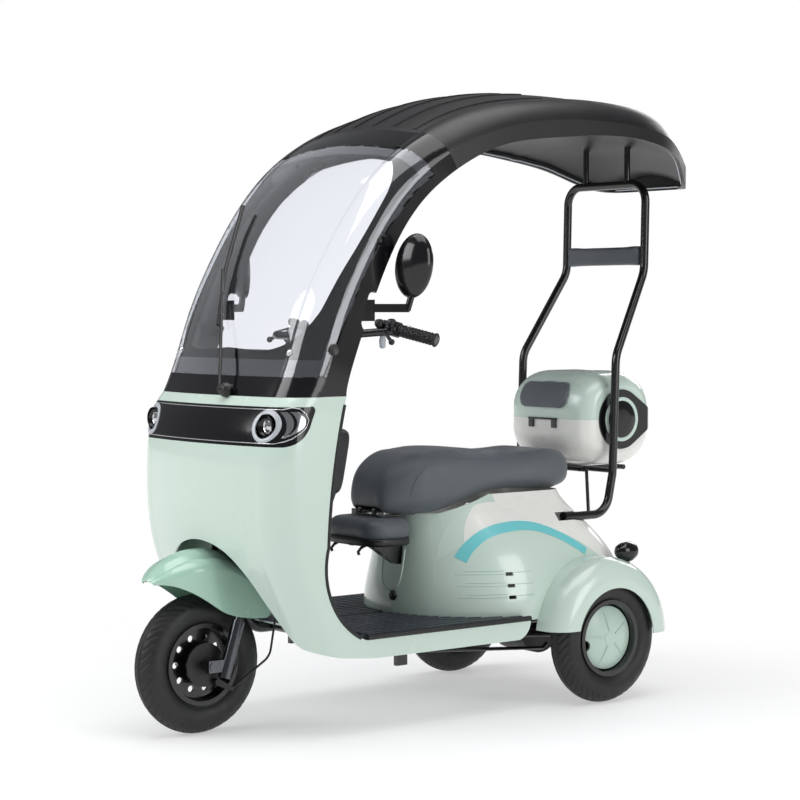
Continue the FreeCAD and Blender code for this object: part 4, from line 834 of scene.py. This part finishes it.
def dress_nose(finishes):
    """The seat body's nose: a raised U moulding, and a lobed knob in its socket."""
    shell = shell_of("seat_body")
    placed = [from_front(shell, x * MM, z * MM) for x, z in smooth_line(NOSE_LINE, 5)]
    bead("nose_moulding", [place for place, _ in filter(None, placed)], 0.0035, finishes["mint_plastic"],
         "vehicle")
    points = []
    count = 48
    for i in range(count):
        turn = 2 * math.pi * i / count
        for radius, along in KNOB_PROFILE:
            lobe = 1 + (0.09 * math.cos(KNOB_LOBES * turn) if radius > 5 else 0)
            points.append(((KNOB_PLACE[0] + radius * lobe * math.cos(turn)) * MM, (KNOB_PLACE[1] + along) * MM,
                           (KNOB_PLACE[2] + radius * lobe * math.sin(turn)) * MM))
    faces = []
    for i in range(count):
        a = i * len(KNOB_PROFILE)
        b = ((i + 1) % count) * len(KNOB_PROFILE)
        faces += [(a + j, a + j + 1, b + j + 1, b + j) for j in range(len(KNOB_PROFILE) - 1)]
    new_piece("nose_knob", points, faces, finishes["control_plastic"], "vehicle")


def fit_knee_pockets(finishes):
    """A shallow moulded pocket on each side of the column cover, with rounded corners."""
    for side, word in SIDES:
        rows = []
        for inset, y in ((0, -462), (0, -424), (3, -417), (10, -412), (60, -410)):
            row = []
            for i in range(POCKET_STEPS):
                x, z = rounded_box(2 * math.pi * i / POCKET_STEPS, max(POCKET_HALF[0] - inset, 2),
                                   max(POCKET_HALF[1] - inset, 20), 0.35)
                row.append(Vector((side * (POCKET_CENTRE[0] + x) * MM, (y + POCKET_LEAN * z) * MM,
                                   (POCKET_CENTRE[1] + z) * MM)))
            rows.append(row)
        points = [place for row in rows for place in row]
        faces = []
        for r in range(len(rows) - 1):
            for i in range(POCKET_STEPS):
                k = (i + 1) % POCKET_STEPS
                a = r * POCKET_STEPS
                b = a + POCKET_STEPS
                faces.append((a + i, b + i, b + k, a + k))
        faces.append(tuple(range((len(rows) - 1) * POCKET_STEPS, len(rows) * POCKET_STEPS)))
        new_piece("knee_pocket_" + word, points, faces, finishes["black_plastic"], "vehicle")


def trim_shield_edges(finishes):
    """A thick black rubber edge that follows the shield from the mat to the hood."""
    shell = shell_of("front_shield")
    edge = ([(-437, 262)] + arc_points((-445, 257), (-540, 335), (-568, 508), 18)[1:]
            + arc_points((-568, 508), (-554, 680), (-510, 897), 18)[1:])
    for side, word in SIDES:
        placed = []
        for y, z in edge:
            met = from_side(shell, side, (y - 5) * MM, (z + 1) * MM)
            if met:
                placed.append(Vector((met[0].x - side * 0.002, y * MM, z * MM)))
        if len(placed) > 4:
            bead("shield_edge_rubber_" + word, placed, 0.0055, finishes["grip_rubber"], "vehicle")
        sill = [Vector((side * 0.3315, y * MM, 0.2635)) for y in range(-440, 131, 15)]
        bead("sill_edge_rubber_" + word, sill, 0.0072, finishes["grip_rubber"], "vehicle")


# Box on the carrier, roof, child seat and handlebar

BOX_END = (0.1808, 0.625, 0.797)

def dress_box(finishes):
    """Mint ring and glossy disc on each end of the box."""
    for side, word in SIDES:
        centre = (side * BOX_END[0], BOX_END[1], BOX_END[2])
        ring = [(66, 0.0), (66, 3.0), (64.5, 4.4), (56.5, 4.4), (55, 3.0), (55, 0.0)]
        turned("box_ring_" + word, centre, [(r, side * a) for r, a in ring], finishes["mint_plastic"], "vehicle",
               axis="x", steps=72)
        disc = [(54.5, 0.3), (54.5, 2.2), (53, 3.0), (30, 3.8), (0.05, 4.2)]
        turned("box_disc_" + word, centre, [(r, side * a) for r, a in disc], finishes["black_gloss_plastic"],
               "vehicle", axis="x", steps=72)


def trim_roof(finishes):
    """A pale bead round the roof's inner lip, a painted highlight for the light caught along its edge, and the
    smooth dark lining that it holds.
    """
    shell = shell_of("roof_panel")
    lips = []
    for y in range(-150, 921, 22):
        low = None
        for z in range(1380, 1760, 3):
            met = from_side(shell, 1, y * MM, z * MM)
            if met:
                low = (met[0].x - 0.016, z * MM + 0.004)
                break
        if low:
            lips.append((low[0], y * MM, low[1]))
    left = [Vector(lip) for lip in lips]
    right = [Vector((-x, y, z)) for x, y, z in reversed(lips)]
    # Painted highlight: a pale grey bead along the lip's edge in place of the light it catches.
    bead("roof_lip_painted_highlight", left + right, 0.0026, finishes["lamp_ring"], "vehicle")
    rows = []
    for x, y, z in lips:
        row = []
        for k in range(17):
            share = -1 + k / 8
            rise = 0.012 + 0.030 * (1 - share ** 2)
            row.append((Vector((share * (x - 0.004), y, z + rise)), Vector((0, 0, -1))))
        rows.append(row)
    skin("roof_lining", rows, 0.0, 0.001, finishes["roof_plastic"], "vehicle")


PAN_HALF = (124, 78)
PAN_CENTRE_Y = -183


def dress_child_seat(finishes):
    """A black pan under the child's pad, with its two release hooks."""
    points = []
    faces = []
    loops = ((16, 466), (4, 467.5), (0, 471), (0, 486), (2, 488))
    count = 64
    for inset, z in loops:
        for i in range(count):
            x, y = rounded_box(2 * math.pi * i / count, PAN_HALF[0] - inset, PAN_HALF[1] - inset, 0.55)
            points.append((x * MM, (PAN_CENTRE_Y + y) * MM, z * MM))
    for r in range(len(loops) - 1):
        for i in range(count):
            k = (i + 1) % count
            faces.append((r * count + i, r * count + k, (r + 1) * count + k, (r + 1) * count + i))
    faces.append(tuple(reversed(range(count))))
    new_piece("child_seat_pan", points, faces, finishes["control_plastic"], "vehicle")
    for x, word in ((-0.070, "right"), (0.055, "left")):
        hook = [Vector((x, -0.236, 0.468)), Vector((x, -0.252, 0.462)), Vector((x, -0.262, 0.452)),
                Vector((x + 0.004, -0.262, 0.444))]
        bead("child_seat_hook_" + word, hook, 0.0042, finishes["control_plastic"], "vehicle")


GRIP_INNER = Vector((0.236, -0.257, 1.066))
GRIP_OUTER = Vector((0.338, -0.213, 1.040))


def hoop_points(centre, along, radius, count=32):
    """A circle of points round an axis."""
    along = along.normalized()
    across = along.cross(Vector((0, 0, 1))).normalized()
    up = across.cross(along)
    return [centre + radius * (math.cos(2 * math.pi * i / count) * across
                               + math.sin(2 * math.pi * i / count) * up) for i in range(count)]


def dress_handlebar(finishes):
    """Ribs and end flange on each grip, two round switch pods over the bar and a bright lever end."""
    for side, word in SIDES:
        inner = Vector((side * GRIP_INNER.x, GRIP_INNER.y, GRIP_INNER.z))
        outer = Vector((side * GRIP_OUTER.x, GRIP_OUTER.y, GRIP_OUTER.z))
        along = outer - inner
        for k in range(9):
            centre = inner + along * (0.14 + 0.088 * k)
            bead("grip_rib_%s_%d" % (word, k + 1), hoop_points(centre, along, 0.0166), 0.0011,
                 finishes["grip_rubber"], "steering", closed=True)
        bead("grip_flange_" + word, hoop_points(outer - along * 0.03, along, 0.0168), 0.0026,
             finishes["grip_rubber"], "steering", closed=True)
        pod = [(0.05, 12), (6, 11.6), (10.5, 9), (12.8, 4), (13, -3), (10, -9), (5, -14)]
        for k, place in enumerate(((0.199, -0.299, 1.085), (0.228, -0.280, 1.086))):
            turned("switch_pod_%s_%d" % (word, k + 1), (side * place[0], place[1], place[2]), pod,
                   finishes["control_plastic"], "steering", axis="z", steps=32)
        button = [(0.05, 19.5), (3.5, 19.3), (5.5, 18.0), (6, 15)]
        turned("grip_button_" + word, (side * 0.262, -0.246, 1.0595), button, finishes["bright_trim"], "steering",
               axis="z", steps=24)
        tip = [(0.05, -33), (5, -32), (8.5, -28), (9.5, -12), (8, -4), (5, 6)]
        turned("lever_end_" + word, (side * 0.204, -0.292, 1.050), tip, finishes["lamp_ring"], "steering",
               axis="z", steps=24)


def stitch_saddle(finishes, piece):
    """A raised seam on each side of the saddle, from its nose back under the rider."""
    graph = bpy.context.evaluated_depsgraph_get()
    shell = BVHTree.FromObject(piece, graph)
    path = smooth_line(SADDLE_SEAM, 10)
    for side, word in SIDES:
        line = []
        for y, z in path:
            met = touch(shell, (side * 0.6, y * MM, z * MM), (-side, 0, 0))
            if met:
                line.append(met[0] + met[1] * -0.0002)
        if len(line) > 4:
            bead("saddle_seam_" + word, line, 0.0015, finishes["seat_cover"], "saddle")


def dress_rear(finishes):
    """Rounded turn lamps over their stalks, and the rods that steady the rear axle."""
    for side, word in SIDES:
        pod = [(0.05, -46), (10, -44), (19, -36), (25, -22), (27, -4), (26, 12), (23, 20), (22, 21)]
        turned("turn_lamp_pod_" + word, (side * 0.324, 0.514, 0.424), pod, finishes["black_gloss_plastic"],
               "vehicle", axis="y", steps=40)
        lens = [(22, 20.5), (20, 24), (13, 27), (0.05, 28.5)]
        turned("turn_lamp_lens_" + word, (side * 0.324, 0.514, 0.424), lens, finishes["red_lens"], "vehicle",
               axis="y", steps=40)
        rod = [Vector((side * 0.150, -0.205, 0.186)), Vector((side * 0.150, -0.190, 0.180)),
               Vector((side * 0.150, 0.340, 0.138)), Vector((side * 0.150, 0.356, 0.150))]
        bead("axle_rod_" + word, rod, 0.0055, finishes["frame_paint"], "vehicle")


# Everything together

def main():
    finishes = make_finishes()
    set_camera()
    set_floor()
    set_light()
    dress_nodes(finishes)
    split_cover_paint(finishes)
    saddle = cushion("saddle_cushion", "saddle", "saddle", finishes["seat_cover"], smoothing=16,
                     shape=slim_saddle_front)
    stitch_saddle(finishes, saddle)
    cushion("child_seat_cushion", "child_seat", "vehicle", finishes["seat_cover"], voxel=5)
    cushion("backrest_cushion", "backrest_pad", "vehicle", finishes["seat_cover"], voxel=4, inset=2)
    cushion("box_backrest_cushion", "box_pad", "box_lid", finishes["seat_cover"], voxel=4, inset=2)
    fit_tyres(finishes)
    lay_stripes(finishes)
    cut_vent_grooves(finishes)
    trim_mudguards(finishes)
    fit_headlamps(finishes)
    outline_strip(finishes)
    paint_glass_border(finishes)
    fit_hood_buttons(finishes)
    trim_shield_edges(finishes)
    fit_knee_pockets(finishes)
    dress_nose(finishes)
    dress_box(finishes)
    dress_child_seat(finishes)
    dress_handlebar(finishes)
    dress_rear(finishes)
    trim_roof(finishes)


main()
